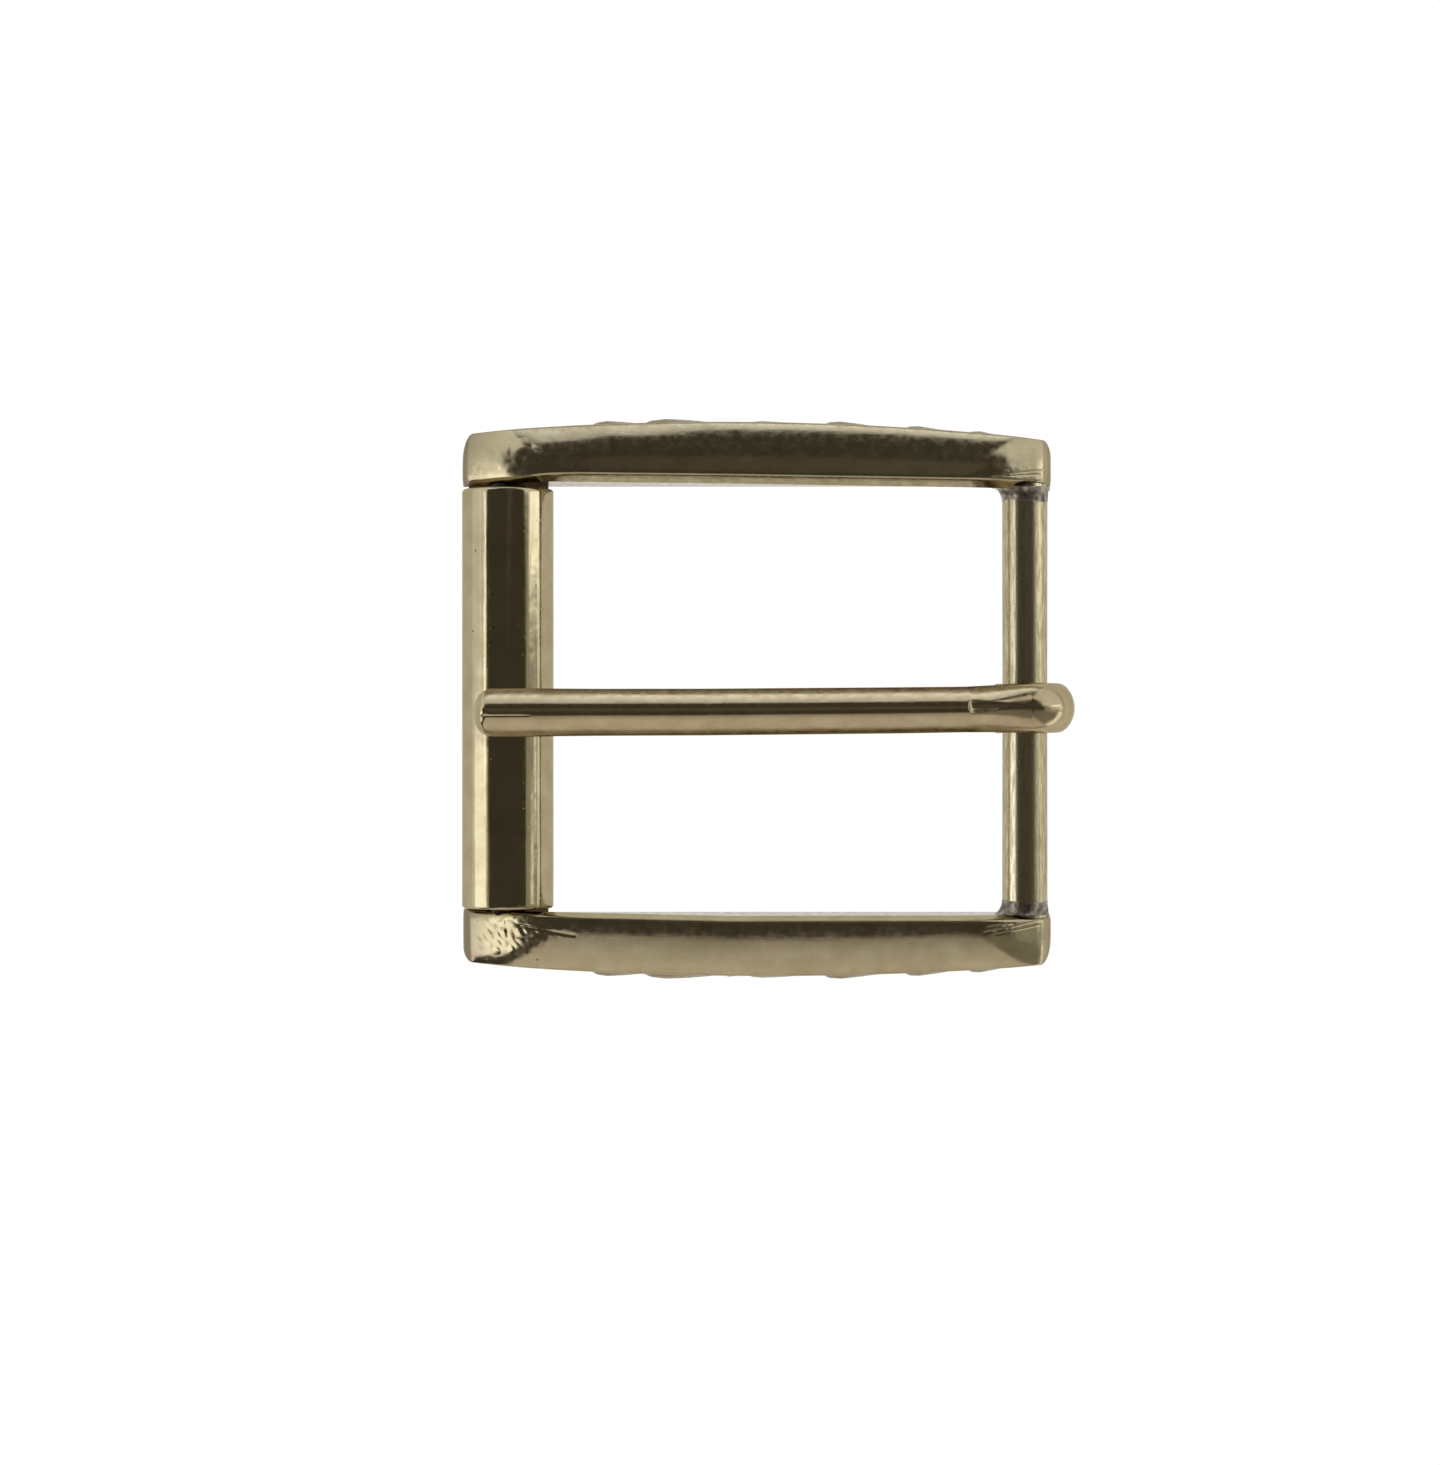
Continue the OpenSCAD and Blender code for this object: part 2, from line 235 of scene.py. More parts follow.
def dome_fall(from_outside, width, flank):
    """How far the top has fallen at a distance from the outer wall. From level it turns along the
    crown's arc to 32 degrees, then along the flank's to 39.5 degrees, and then quickly round the edge
    to upright."""
    edge = EDGE_R * (1 - np.sin(FLANK_TILT))
    flank_r = (flank - edge) / (np.sin(FLANK_TILT) - np.sin(CROWN_TILT))
    crown_r = (width - flank) / np.sin(CROWN_TILT)
    inward = np.clip(from_outside, 0, width)
    on_crown = arc_fall(crown_r, width - inward)
    at_flank = crown_r * (1 - np.cos(CROWN_TILT)) - flank_r * (1 - np.cos(CROWN_TILT))
    on_flank = at_flank + arc_fall(flank_r, flank + flank_r * np.sin(CROWN_TILT) - inward)
    at_edge = at_flank + flank_r * (1 - np.cos(FLANK_TILT)) - EDGE_R * (1 - np.cos(FLANK_TILT))
    on_edge = at_edge + arc_fall(EDGE_R, EDGE_R - inward)
    return np.where(inward > flank, on_crown, np.where(inward > edge, on_flank, on_edge))


def end_fall(from_end, tilt_degrees, slope_end, round_r):
    """How far the top has fallen at a distance from a rail's end: a long roll, a flat slope, then a
    small round."""
    tilt = np.radians(tilt_degrees)
    round_end = round_r * (1 - np.sin(tilt))
    roll_end = slope_end + END_ROLL_R * np.sin(tilt)
    inward = np.clip(from_end, 0, roll_end)
    on_roll = arc_fall(END_ROLL_R, roll_end - inward)
    at_roll = END_ROLL_R * (1 - np.cos(tilt))
    on_slope = at_roll + np.tan(tilt) * (slope_end - inward)
    at_round = at_roll + np.tan(tilt) * (slope_end - round_end) - round_r * (1 - np.cos(tilt))
    on_round = at_round + arc_fall(round_r, round_r - inward)
    return np.where(inward > slope_end, on_roll, np.where(inward > round_end, on_slope, on_round))


def corner_inset(from_end, size):
    """How far a quarter ellipse of that size, seen from above, has turned in at a distance from the
    end."""
    along, across = size
    inward = np.clip(from_end, 0, along)
    return across * (1 - np.sqrt(1 - (1 - inward / along) ** 2))


# %% [markdown]
# The outer walls carry a row of cast leaves. From above only their swellings show, each steep at its
# tip and fading towards its root. A leaf is a pillow between two arcs with a groove for the midrib and
# faint slanting veins. The pillow's rounded edge matters: a flat-topped leaf would catch hard glints
# from above.

# %% Leaves on the outer wall
LEAF_MID_Z = 2.9
LEAF_WIDTH = 4.0
LEAVES = [
    # tip, length, rise
    (-16.45, 5.2, 0.50),
    (-11.60, 7.1, 0.52),
    (-4.05, 2.0, 0.22),
    (-1.90, 5.2, 0.30),
    (5.20, 5.7, 0.48),
    (12.75, 5.0, 0.42),
    (18.65, 3.9, 0.38),
]
LEAF_SWELL_PLACES = (0, 0.1, 0.28, 0.6, 1)
LEAF_SWELL_SHARES = (0.25, 0.78, 1, 0.66, 0.12)
LEAF_EDGE_RISE = 0.06
RIB_DEPTH = 0.10
RIB_HALF = 0.12
VEIN_HEIGHT = 0.035
VEIN_PITCH = 0.7
VEIN_SLANT = 1.1
STEM_RISE = 0.05
STEM_HALF = 0.3
STEM_SWING = 0.35
STEM_WAVE = 9.5
STEM_STARTS = (-14.5, -13.0)
STEM_ENDS = (19.5, 21.0)


def leaf_relief(x, z):
    """The leaves' height above the outer wall: the swell along the leaf, times a parabola across it,
    less the rib, plus the veins."""
    total = np.zeros(np.broadcast(x, z).shape)
    from_rib = np.abs(z - LEAF_MID_Z)
    for tip, length, rise in LEAVES:
        along = (x - tip) / length
        inside = (along > 0) & (along < 1)
        bulge = np.clip(np.sin(np.pi * np.clip(along, 0, 1) ** 0.8), 0.001, 1)
        half = 0.5 * min(LEAF_WIDTH, 0.8 * length) * np.sqrt(bulge)
        across = np.clip(from_rib / half, 0, 1)
        swell = np.interp(along, LEAF_SWELL_PLACES, LEAF_SWELL_SHARES)
        edge = LEAF_EDGE_RISE * (1 - smooth_step(across, 0.93, 1.0))
        pillow = rise * swell * (1 - across ** 2) + edge
        rib = RIB_DEPTH * np.exp(-(from_rib / RIB_HALF) ** 2) * smooth_step(along, 0.08, 0.3)
        slant = x - tip + VEIN_SLANT * from_rib
        vein = VEIN_HEIGHT * np.cos(2 * np.pi * slant / VEIN_PITCH)
        vein = vein * smooth_step(across, 0.12, 0.4) * (1 - across)
        total = np.where(inside, np.maximum(total, pillow - rib + vein), total)
    return total


def stem_relief(x, z):
    """A thin stem that runs in slow waves behind the leaves."""
    line = LEAF_MID_Z + STEM_SWING * np.sin(2 * np.pi * (x - RAIL_LEFT) / STEM_WAVE)
    along = plateau(x, STEM_STARTS, STEM_ENDS)
    return STEM_RISE * np.exp(-((z - line) / STEM_HALF) ** 2) * along


# %% [markdown]
# Between the leaves the wall was never polished, and its ground has stayed darker. The share of bare
# ground is worked out with the shape and stored in the rail's points, and the finish reads it there. It
# fades out before the panel's edges, so no line shows from above.

# %% Bare ground between the leaves
GROUND_STARTS_UP = (0.4, 1.6)
GROUND_ENDS_UP = (4.1, 5.3)
GROUND_STARTS_ALONG = (-22.5, -15.5)
GROUND_ENDS_ALONG = (20.5, 26.0)
GROUND_ENDS_AT_RELIEF = (0.02, 0.09)


def ground_between_leaves(x, z, relief):
    """1 on the bare wall, fading out towards the panel's edges and where the relief rises."""
    across = plateau(z, GROUND_STARTS_UP, GROUND_ENDS_UP)
    along = plateau(x, GROUND_STARTS_ALONG, GROUND_ENDS_ALONG)
    return across * along * (1 - smooth_step(relief, *GROUND_ENDS_AT_RELIEF))


# %% [markdown]
# The tops of the rails carry the marks of a real casting. The lower rail's left end is dented in
# crumpled facets, with a long scratch that runs out of them. The upper one has a few soft ripples, and
# both right ends are scratched beside the heel bar. Dents are soft patches of waves whose folds are
# left sharp, and scratches are short narrow grooves.

# %% Dents and scratches in the rails' tops
FOLD_LEVEL = 0.7
DENTS = [
    # rail, seed, (centre x, centre y, reach x, reach y), (shortest, longest) wave, height
    ("rail_minus_y", 3, (-24.0, 22.0, 2.6, 1.7), (0.9, 2.6), 0.044),
    ("rail_minus_y", 5, (-21.2, 21.5, 2.8, 0.8), (0.8, 2.6), 0.040),
    ("rail_plus_y", 7, (-22.6, 22.6, 1.9, 1.9), (1.8, 4.2), 0.045),
    ("rail_plus_y", 9, (23.3, 20.6, 2.0, 0.7), (0.5, 1.6), 0.010),
    ("rail_minus_y", 13, (22.6, 20.9, 2.0, 0.8), (0.5, 1.6), 0.012),
]
SCRATCHES = [
    # rail, (from x, from y, to x, to y), width, depth
    ("rail_minus_y", (-22.9, 20.9, -17.9, 21.75), 0.14, 0.070),
    ("rail_minus_y", (20.2, 21.0, 22.6, 20.7), 0.07, 0.040),
    ("rail_minus_y", (20.6, 21.4, 24.8, 20.5), 0.06, 0.035),
    ("rail_minus_y", (20.9, 21.7, 25.0, 20.9), 0.06, 0.030),
    ("rail_minus_y", (19.9, 21.5, 21.0, 21.3), 0.08, 0.040),
    ("rail_plus_y", (20.6, 20.35, 25.1, 20.7), 0.07, 0.035),
    ("rail_plus_y", (21.8, 20.6, 25.3, 21.1), 0.06, 0.030),
    ("rail_plus_y", (-18.2, 20.7, -17.8, 21.6), 0.05, 0.015),
    ("rail_plus_y", (-13.9, 20.4, -13.4, 21.3), 0.05, 0.012),
]


def marks(rail_name, x, y):
    """The sum of one rail's dents and scratches. A dent's waves are folded at zero, which leaves
    creases."""
    total = np.zeros(np.broadcast(x, y).shape)
    for name, seed, place, lengths, height in DENTS:
        if name == rail_name:
            folded = np.abs(waves(x, y, seed, *lengths)) - FOLD_LEVEL
            total = total + height * patch(x, y, *place) * folded
    for name, line, width, depth in SCRATCHES:
        if name == rail_name:
            total = total - depth * stroke(x, y, *line, width)
    return total


# %% [markdown]
# A rail's ring is its cross-section at one place along X: across the back, up the inner wall, over the
# bevel and the dome, and down the outer wall. Points stand closer together where the surface turns
# fastest. The last rings shrink onto the end face, which closes it flat.

# %% The rings of a rail
SECTIONS = 400
SECTION_BUNCHING = 0.72
FACE_RINGS = 8
BEVEL_OVERLAP = 0.2
EDGE_SHARE = 0.3
EDGE_BUNCHING = 1.8
TOP_WAVE_HEIGHT = 0.004
TOP_WAVE_LENGTHS = (3.0, 11.0)
RELIEF_STARTS_BELOW_TOP = (0.0, 0.5)


def eased(count, ends=1.0):
    """Shares from 0 to 1 that stand closer together at both ends, by a cosine."""
    even = np.linspace(0, 1, count)
    return (1 - ends) * even + ends * (1 - np.cos(np.pi * even)) / 2


def rail_rings(name, side, arc, inner, flank, bevel, tilts, slopes, rounds,
               corner_left, corner_right, seed):
    """Rings of one rail, as (x, y, z) with y positive, then mirrored for the rail at -Y, and the share
    of bare ground at each point."""
    x = RAIL_LEFT + RAIL_LENGTH * eased(SECTIONS, SECTION_BUNCHING)[:, None]
    from_left = x - RAIL_LEFT
    from_right = RAIL_RIGHT - x
    share = from_left / RAIL_LENGTH
    arc_middle, arc_r, arc_reach = arc
    outer = arc_reach - arc_fall(arc_r, x - arc_middle)
    outer = outer - corner_inset(from_left, corner_left) - corner_inset(from_right, corner_right)
    flank_width = np.interp(share, FLANK_PLACES, flank)
    edge_inset = corner_inset(from_left, INNER_CORNER) + corner_inset(from_right, INNER_CORNER)
    wall_top = np.interp(share, INNER_PLACES, inner) + edge_inset
    wall_foot = BELT_HALF + edge_inset
    bevel_width = np.interp(share, BEVEL_PLACES, bevel[:2])
    bevel_slope = np.tan(np.radians(bevel[2]))
    bevel_round = np.interp(share, BEVEL_ROUND_PLACES, BEVEL_ROUNDS)
    left_fall = end_fall(from_left, tilts[0], slopes[0], rounds[0])
    right_fall = end_fall(from_right, tilts[1], slopes[1], rounds[1])
    ends = np.maximum(left_fall, right_fall)

    def top(y):
        dome = dome_fall(outer - y, outer - wall_top - bevel_width, flank_width)
        bevel_fall = bevel_slope * soft_above(bevel_width - (y - wall_top), bevel_round)
        z = RAIL_HEIGHT - np.sqrt(dome ** 2 + ends ** 2) - bevel_fall
        return z + marks(name, x, y) + TOP_WAVE_HEIGHT * waves(x, y, seed, *TOP_WAVE_LENGTHS)

    back_share = eased(10, 0.5)[None, :]
    wall_share = eased(16)[None, 1:]
    bevel_y = wall_top + (bevel_width + BEVEL_OVERLAP) * eased(22)[None, 1:]
    even_share = np.linspace(0, 1 - EDGE_SHARE, 48)[1:]
    close_share = 1 - EDGE_SHARE * (1 - np.linspace(0, 1, 34)[1:]) ** EDGE_BUNCHING
    dome_share = np.concatenate([even_share, close_share])[None, :]
    dome_y = bevel_y[:, -1:] + (outer - bevel_y[:, -1:]) * dome_share
    outer_share = eased(74, 0.5)[None, 1:]

    wall_top_z = top(wall_top)
    shoulder_z = top(outer)
    back_y = (outer - BACK_BEVEL) + (wall_foot - outer + BACK_BEVEL) * back_share
    wall_y = wall_foot + (wall_top - wall_foot) * wall_share
    wall_z = wall_top_z * wall_share
    outer_z = shoulder_z + (BACK_BEVEL - shoulder_z) * outer_share
    relief = leaf_relief(x, outer_z) + stem_relief(x, outer_z)
    outer_y = outer + relief * smooth_step(shoulder_z - outer_z, *RELIEF_STARTS_BELOW_TOP)
    y = np.concatenate([back_y, wall_y, bevel_y, dome_y, outer_y], axis=1)
    z = np.concatenate([np.zeros_like(back_y), wall_z, top(bevel_y), top(dome_y), outer_z], axis=1)
    rings = np.stack([np.broadcast_to(x, y.shape), y, z], axis=-1)
    ground = np.zeros((len(rings) + 2 * FACE_RINGS, y.shape[1]))
    ground[FACE_RINGS:-FACE_RINGS, -outer_y.shape[1]:] = ground_between_leaves(x, outer_z, relief)
    shrink = np.linspace(0.12, 0.96, FACE_RINGS)[:, None, None]
    left_face = rings[0] + (rings[0].mean(0) - rings[0]) * shrink[::-1]
    right_face = rings[-1] + (rings[-1].mean(0) - rings[-1]) * shrink
    rings = np.concatenate([left_face, rings, right_face])
    rings[..., 1] *= side
    return rings, ground


# %% The two rails
rails = {}
for rail_name, rail_sizes in RAILS.items():
    rings, ground = rail_rings(rail_name, **rail_sizes)
    rails[rail_name] = skin(rail_name, rings)
    stored_ground = rails[rail_name].data.attributes.new("ground", "FLOAT", "POINT")
    ground_at_poles = [0, 0]
    stored_ground.data.foreach_set("value", np.concatenate([ground.ravel(), ground_at_poles]))

# %% [markdown]
# The heel bar is a plain rod, left rougher than the rest because the belt hides it. Its ends are
# soldered to the rails, and the solder is a grey collar with a hollow curve. A bar is rings along Y,
# and a collar is the same with a radius that flares out to the rail in a quarter of an ellipse. It
# spreads mostly towards the roller, because the rail's end leaves no room on the other side.

# %% The heel bar
HEEL_BAR_X = 23.85
HEEL_BAR_Z = 4.2
HEEL_BAR_R = 2.1
HEEL_BAR_HALF = 20.4
WAIST_DEPTH = 0.02
WAIST_REACH = 13
BAR_RIPPLE = 0.0016


def turned(name, x, z, y_line, radius):
    """A skin of rings round a line along Y. Radius has a row for each place in y_line and a column for
    each angle."""
    angle = np.linspace(0, 2 * np.pi, radius.shape[1], endpoint=False)
    y = np.broadcast_to(y_line[:, None], radius.shape)
    return skin(name, np.stack([x + radius * np.cos(angle), y, z + radius * np.sin(angle)], axis=-1))


bar_y = np.linspace(-HEEL_BAR_HALF, HEEL_BAR_HALF, 380)
bar_angle = np.linspace(0, 2 * np.pi, 200, endpoint=False)[None, :]
bar_radius = HEEL_BAR_R - WAIST_DEPTH * np.exp(-(bar_y[:, None] / WAIST_REACH) ** 2)
bar_radius = bar_radius + BAR_RIPPLE * np.sin(3 * bar_angle + 0.4 * bar_y[:, None])
heel_bar = turned("heel_bar", HEEL_BAR_X, HEEL_BAR_Z, bar_y, bar_radius)

# %% The solder collars
SOLDER = {
    # side, wall's place in Y, length along the bar, seed
    "solder_plus_y": (1, 19.45, 1.15, 41),
    "solder_minus_y": (-1, 19.85, 1.1, 43),
}
LEAST_SPREAD = 0.10
SPREAD_TO_ROLLER = 0.72
INTO_WALL = 0.15
SOLDER_LAYER = 0.02
LUMP_HEIGHT = 0.014
LUMP_LENGTHS = (0.5, 1.8)
LUMP_WAVES = 30


def collar_rings(side, wall_place, length, seed):
    """Rings from the collar's thin edge to inside the wall. The radius grows from the bar's by a
    quarter of an ellipse, plus lumps that get higher towards the wall."""
    angle = np.linspace(0, 2 * np.pi, 160, endpoint=False)[None, :]
    to_roller = ((1 - np.cos(angle)) / 2) ** 1.3
    spread = LEAST_SPREAD + SPREAD_TO_ROLLER * to_roller * (1 + 0.2 * np.sin(3 * angle + seed))
    share = np.linspace(0, 1, 60)[:, None]
    flare = spread * (1 - np.sqrt(1 - share ** 2)) + 0.03 * share
    y = wall_place - length + (length + INTO_WALL) * share
    y = y + 0.12 * np.sin(2 * angle + seed) * (1 - share)
    lumps = LUMP_HEIGHT * waves(angle * HEEL_BAR_R, y, seed, *LUMP_LENGTHS, LUMP_WAVES)
    radius = HEEL_BAR_R + SOLDER_LAYER + flare + np.abs(lumps) * (0.3 + share)
    x = HEEL_BAR_X + radius * np.cos(angle)
    z = HEEL_BAR_Z + radius * np.sin(angle)
    return np.stack([x, side * y, z], axis=-1)


solder = {name: skin(name, collar_rings(*sizes)) for name, sizes in SOLDER.items()}

# %% [markdown]
# The roller is a polished tube that turns on the axle inside it. Its reflections run as straight
# stripes, so the tube needs a true round surface with only the faintest waves, and small rounds where
# the ends were faced off. The bore is part of the same skin: the profile goes along the outside, round
# the ends and back through the bore, and it is carried once round the axis.

# %% The roller
ROLLER_X = -24.15
ROLLER_Z = 4.45
ROLLER_R = 4.25
ROLLER_HALF = 19.4
ROLLER_BORE_R = 1.88
ROLLER_EDGE_R = 0.3
BORE_BEVEL = 0.15
WAVE_FADE_DEPTH = 0.5
ROLLER_WAVES = [
    # height, length along the roller, waves in one turn
    (0.0022, 17.0, 2),
    (0.0010, 6.3, 3),
]


def roller_rings():
    """Rings round the roller's axis, each a closed profile in radius and y: face, rim, outside, rim,
    face and bore."""
    turn = np.linspace(0, np.pi / 2, 9)
    rim_r = ROLLER_R - ROLLER_EDGE_R + ROLLER_EDGE_R * np.sin(turn)
    rim_y = ROLLER_HALF - ROLLER_EDGE_R + ROLLER_EDGE_R * np.cos(turn)
    face_r = np.linspace(ROLLER_BORE_R + BORE_BEVEL, ROLLER_R - ROLLER_EDGE_R, 8)[:-1]
    face_y = np.full(len(face_r), ROLLER_HALF)
    outside_y = np.linspace(ROLLER_HALF - ROLLER_EDGE_R, -ROLLER_HALF + ROLLER_EDGE_R, 150)[1:-1]
    outside_r = np.full(len(outside_y), ROLLER_R)
    bore_y = np.linspace(-ROLLER_HALF + BORE_BEVEL, ROLLER_HALF - BORE_BEVEL, 40)
    bore_r = np.full(len(bore_y), ROLLER_BORE_R)
    r = np.concatenate([face_r, rim_r, outside_r, rim_r[::-1], face_r[::-1], bore_r])
    y = np.concatenate([face_y, rim_y, outside_y, -rim_y[::-1], -face_y, bore_y])
    angle = np.linspace(0, 2 * np.pi, 320, endpoint=False)[:, None]
    outside = smooth_step(r, ROLLER_R - WAVE_FADE_DEPTH, ROLLER_R)[None, :]
    ripple = sum(height * np.sin(2 * np.pi * y / length + count * angle)
                 for height, length, count in ROLLER_WAVES)
    r = r[None, :] + outside * ripple
    y = np.broadcast_to(y[None, :], r.shape)
    return np.stack([ROLLER_X + r * np.cos(angle), y, ROLLER_Z + r * np.sin(angle)], axis=-1)


roller = skin("roller_tube", roller_rings(), closes_on_itself=True)

# %% [markdown]
# The prong is one cast bar, bent round the heel bar. Its section has a flat underside, upright sides
# and a roof of three arcs on each side that meet without a break: a tight ridge, a long flank and a
# quick eave. The two sides differ, because the bar was filed by hand: the flank at +Y stays flatter and
# turns later. Towards the loop the ridge opens into a wide soft arc. The section is carried along a
# line that follows the underside from the tip, then the bore round the heel bar, and ends as a tail
# under the shank.

# %% Sizes of the prong
PRONG_Y = -0.8
PRONG_SKEW = np.radians(0.55)
PRONG_REST_TILT = np.radians(3.14)
PRONG_BORE_R = 2.18
UNDERSIDE_Z = 1.9
SHANK_TOP = 5.6
HEAD_TOP = 4.6
PRONG_TIP_X = 51.05
TIP_WAY = 1.9
NECK_X = 5.8
LOOP_START_X = 4.0
TAIL_FROM = 318
TAIL_LENGTH = 1.5
LOWER_CORNER_R = 0.45

# Distances from the heel bar's axis, and half the prong's width and how far it bows to the side there
HALF_WIDTH_PLACES = (0.5, 3.5, 6, 12, 40, 46, 49)
HALF_WIDTHS = (2.31, 2.17, 2.10, 2.12, 2.15, 2.2, 2.2)
LOOP_HALF_WIDTH = 2.31
BOW_PLACES = (0, 6, 12, 30, 43, 50)
BOWS = (0.06, 0.165, 0.19, 0.18, 0.09, 0.05)

# How far from the tip or the tail's end the rounding reaches, and the share of full size left at the
# very end
TIP_ROUND_ACROSS = 1.75
TIP_ROUND_UP = 1.15
TIP_ROUND_POWER = 2.4
TAIL_ROUND = 0.7
LEAST_TIP = 0.00001
LEAST_TAIL = 0.0004

# The slope of the head carries on a little past the top of the heel bar, so no notch is left where the
# loop starts. Beyond it the loop gets a little thicker and then thinner.
HEAD_EASE = 0.138
HEAD_EASE_WAY = 0.8
TOP_CORNER = 0.05
THICKNESS_CHANGES = [
    # change, and from and to along the loop
    (0.15, 0.5, 3.2),
    (-0.63, 3.6, 6.2),
    (-0.8, 5.5, 9.5),
]

# A roof's side: shares of the half width where the ridge and the flank end, and the tilts there in
# degrees. The shank's roof turns into the loop's over a stretch on both sides of the heel bar's top.
SHANK_ROOFS = {"minus_y": (0.33, 0.97, 35, 50.5), "plus_y": (0.37, 0.985, 34.5, 48.5)}
LOOP_ROOFS = {"minus_y": (0.70, 0.88, 35, 52), "plus_y": (0.72, 0.90, 35, 52)}
ROOF_CHANGE = (-4.6, 1.6)


# %% The line of the prong
def prong_line():
    """The section's path, as x towards the tip and z up from the heel bar's axis, the outward
    direction, the length passed, and the length past the bar's top. The line turns with the bore from
    the top down the back and forward again below."""
    straight_x = np.concatenate([
        PRONG_TIP_X - TIP_WAY * (1 - np.cos(np.linspace(0, np.pi / 2, 60))),
        np.linspace(PRONG_TIP_X - TIP_WAY, 45, 40)[1:],
        np.linspace(45, 8, 130)[1:],
        np.linspace(8, 0, 150)[1:],
    ])
    lift = PRONG_BORE_R - UNDERSIDE_Z
    straight_z = UNDERSIDE_Z + lift * (1 - smooth_step(straight_x, 0, LOOP_START_X))
    turn = np.radians(np.linspace(90, TAIL_FROM, 220))[1:]
    loop_x = PRONG_BORE_R * np.cos(turn)
    loop_z = PRONG_BORE_R * np.sin(turn)
    tail_way = np.linspace(0, TAIL_LENGTH, 60)[1:]
    x = np.concatenate([straight_x, loop_x, loop_x[-1] - np.sin(turn[-1]) * tail_way])
    z = np.concatenate([straight_z, loop_z, loop_z[-1] + np.cos(turn[-1]) * tail_way])
    angle = np.concatenate([np.full(len(straight_x), np.pi / 2), turn, np.full(len(tail_way), turn[-1])])
    way = np.concatenate([[0], np.cumsum(np.hypot(np.diff(x), np.diff(z)))])
    past_bar_top = way - way[len(straight_x) - 1]
    return x, z, np.cos(angle), np.sin(angle), way, past_bar_top


# %% [markdown]
# An arc of radius r between tilts a and b is r (sin b - sin a) wide and r (cos a - cos b) high. So a
# side of the roof is known from its width, the shares at which the arcs meet, and the tilts there.

# %% The section of the prong
def roof_side(half_width, ridge_share, flank_share, ridge_tilt, flank_tilt):
    """One side of the roof for every place along the prong: how far out and how far down its points
    lie."""
    width = half_width[:, None]
    ridge_end = ridge_share[:, None]
    flank_end = flank_share[:, None]
    first = np.radians(ridge_tilt)[:, None]
    second = np.radians(flank_tilt)[:, None]
    steps = [np.linspace(0, 1, 18)[:-1], np.linspace(1, 2, 20)[:-1], np.linspace(2, 3, 14)]
    steps = np.concatenate(steps)[None, :]
    flank_tilts = first + (second - first) * (steps - 1)
    eave_tilts = second + (np.pi / 2 - second) * (steps - 2)
    tilt = np.where(steps < 1, first * steps, np.where(steps < 2, flank_tilts, eave_tilts))
    on_ridge = np.minimum(tilt, first)
    on_flank = np.clip(tilt, first, second)
    on_eave = np.maximum(tilt, second)
    ridge_r = ridge_end * width / np.sin(first)
    flank_r = (flank_end - ridge_end) * width / (np.sin(second) - np.sin(first))
    eave_r = (1 - flank_end) * width / (1 - np.sin(second))
    out = ridge_r * np.sin(on_ridge) + flank_r * (np.sin(on_flank) - np.sin(first))
    out = out + eave_r * (np.sin(on_eave) - np.sin(second))
    down = ridge_r * (1 - np.cos(on_ridge)) + flank_r * (np.cos(first) - np.cos(on_flank))
    down = down + eave_r * (np.cos(second) - np.cos(on_eave))
    return out, down


def prong_half(half_width, height, roof):
    """Half a section from the ridge to the middle of the underside, as distance from the middle and
    height."""
    out, down = roof_side(half_width, *roof)
    width = half_width[:, None]
    ridge_z = height[:, None]
    corner = np.minimum(LOWER_CORNER_R, 0.4 * ridge_z)
    fit = np.minimum(1, (ridge_z - corner - 0.02) / down[:, -1:])
    turn = np.linspace(0, np.pi / 2, 8)[None, 1:]
    low_out = width - corner * (1 - np.cos(turn))
    low_z = corner * (1 - np.sin(turn))
    floor_out = (width - corner) * np.linspace(1, 0, 6)[None, 1:]
    return (np.concatenate([out, low_out, floor_out], axis=1),
            np.concatenate([ridge_z - down * fit, low_z, np.zeros_like(floor_out)], axis=1))


# %% [markdown]
# A few marks of the file and the bend matter. A round groove runs along the head's ridge, falls a
# little towards the heel bar, and ends in a crescent where it runs out into the shank. Near the tip a
# fine scored line follows the ridge's lower side, with a small filed dimple beside its start. Round the
# bar the bend has left a fan of faint creases. Each mark is laid only on points that stand high enough
# to be on the roof.

# %% Marks on the prong
GROOVE_R = 1.3
GROOVE_DEPTH = 0.4
GROOVE_FALL = 0.07
GROOVE_SIDE = -0.45
GROOVE_END_X = 5.72
GROOVE_RUN_OUT = 0.3
GROOVE_RUN_OUT_ROUND = 0.12
GROOVE_EDGE = 0.02
GROOVE_LIMIT_X = 7
METAL_UNDER_GROOVE = 0.5
SCORE_STARTS = (0.7, 1.0)
SCORE_ENDS = (3.8, 5.6)
SCORE_SIDE = 0.30
SCORE_HALF = 0.07
SCORE_DEPTH = 0.06
DIMPLE = (0.8, 0.45, 0.5, 0.35)
DIMPLE_DEPTH = 0.12
FAN_STARTS = (0.8, 2.2)
FAN_ENDS = (3.4, 4.4)
FAN_HEIGHT = 0.005
FAN_SPACING = 0.16
PRONG_WAVE_HEIGHT = 0.003
PRONG_WAVE_LENGTHS = (4.0, 14.0)
PRONG_SEED = 61


def groove_floor(x, y):
    """Height of the file groove's floor above the heel bar's axis: a round trough that falls a little
    towards the bar, and a steep end."""
    across = np.clip(np.abs(y - GROOVE_SIDE), 0, 0.98 * GROOVE_R)
    rising = soft_above(x - GROOVE_END_X, GROOVE_RUN_OUT_ROUND) * GROOVE_DEPTH / GROOVE_RUN_OUT
    fall = GROOVE_FALL * np.clip(NECK_X - x, 0, None)
    return SHANK_TOP - GROOVE_DEPTH - fall + arc_fall(GROOVE_R, across) + rising


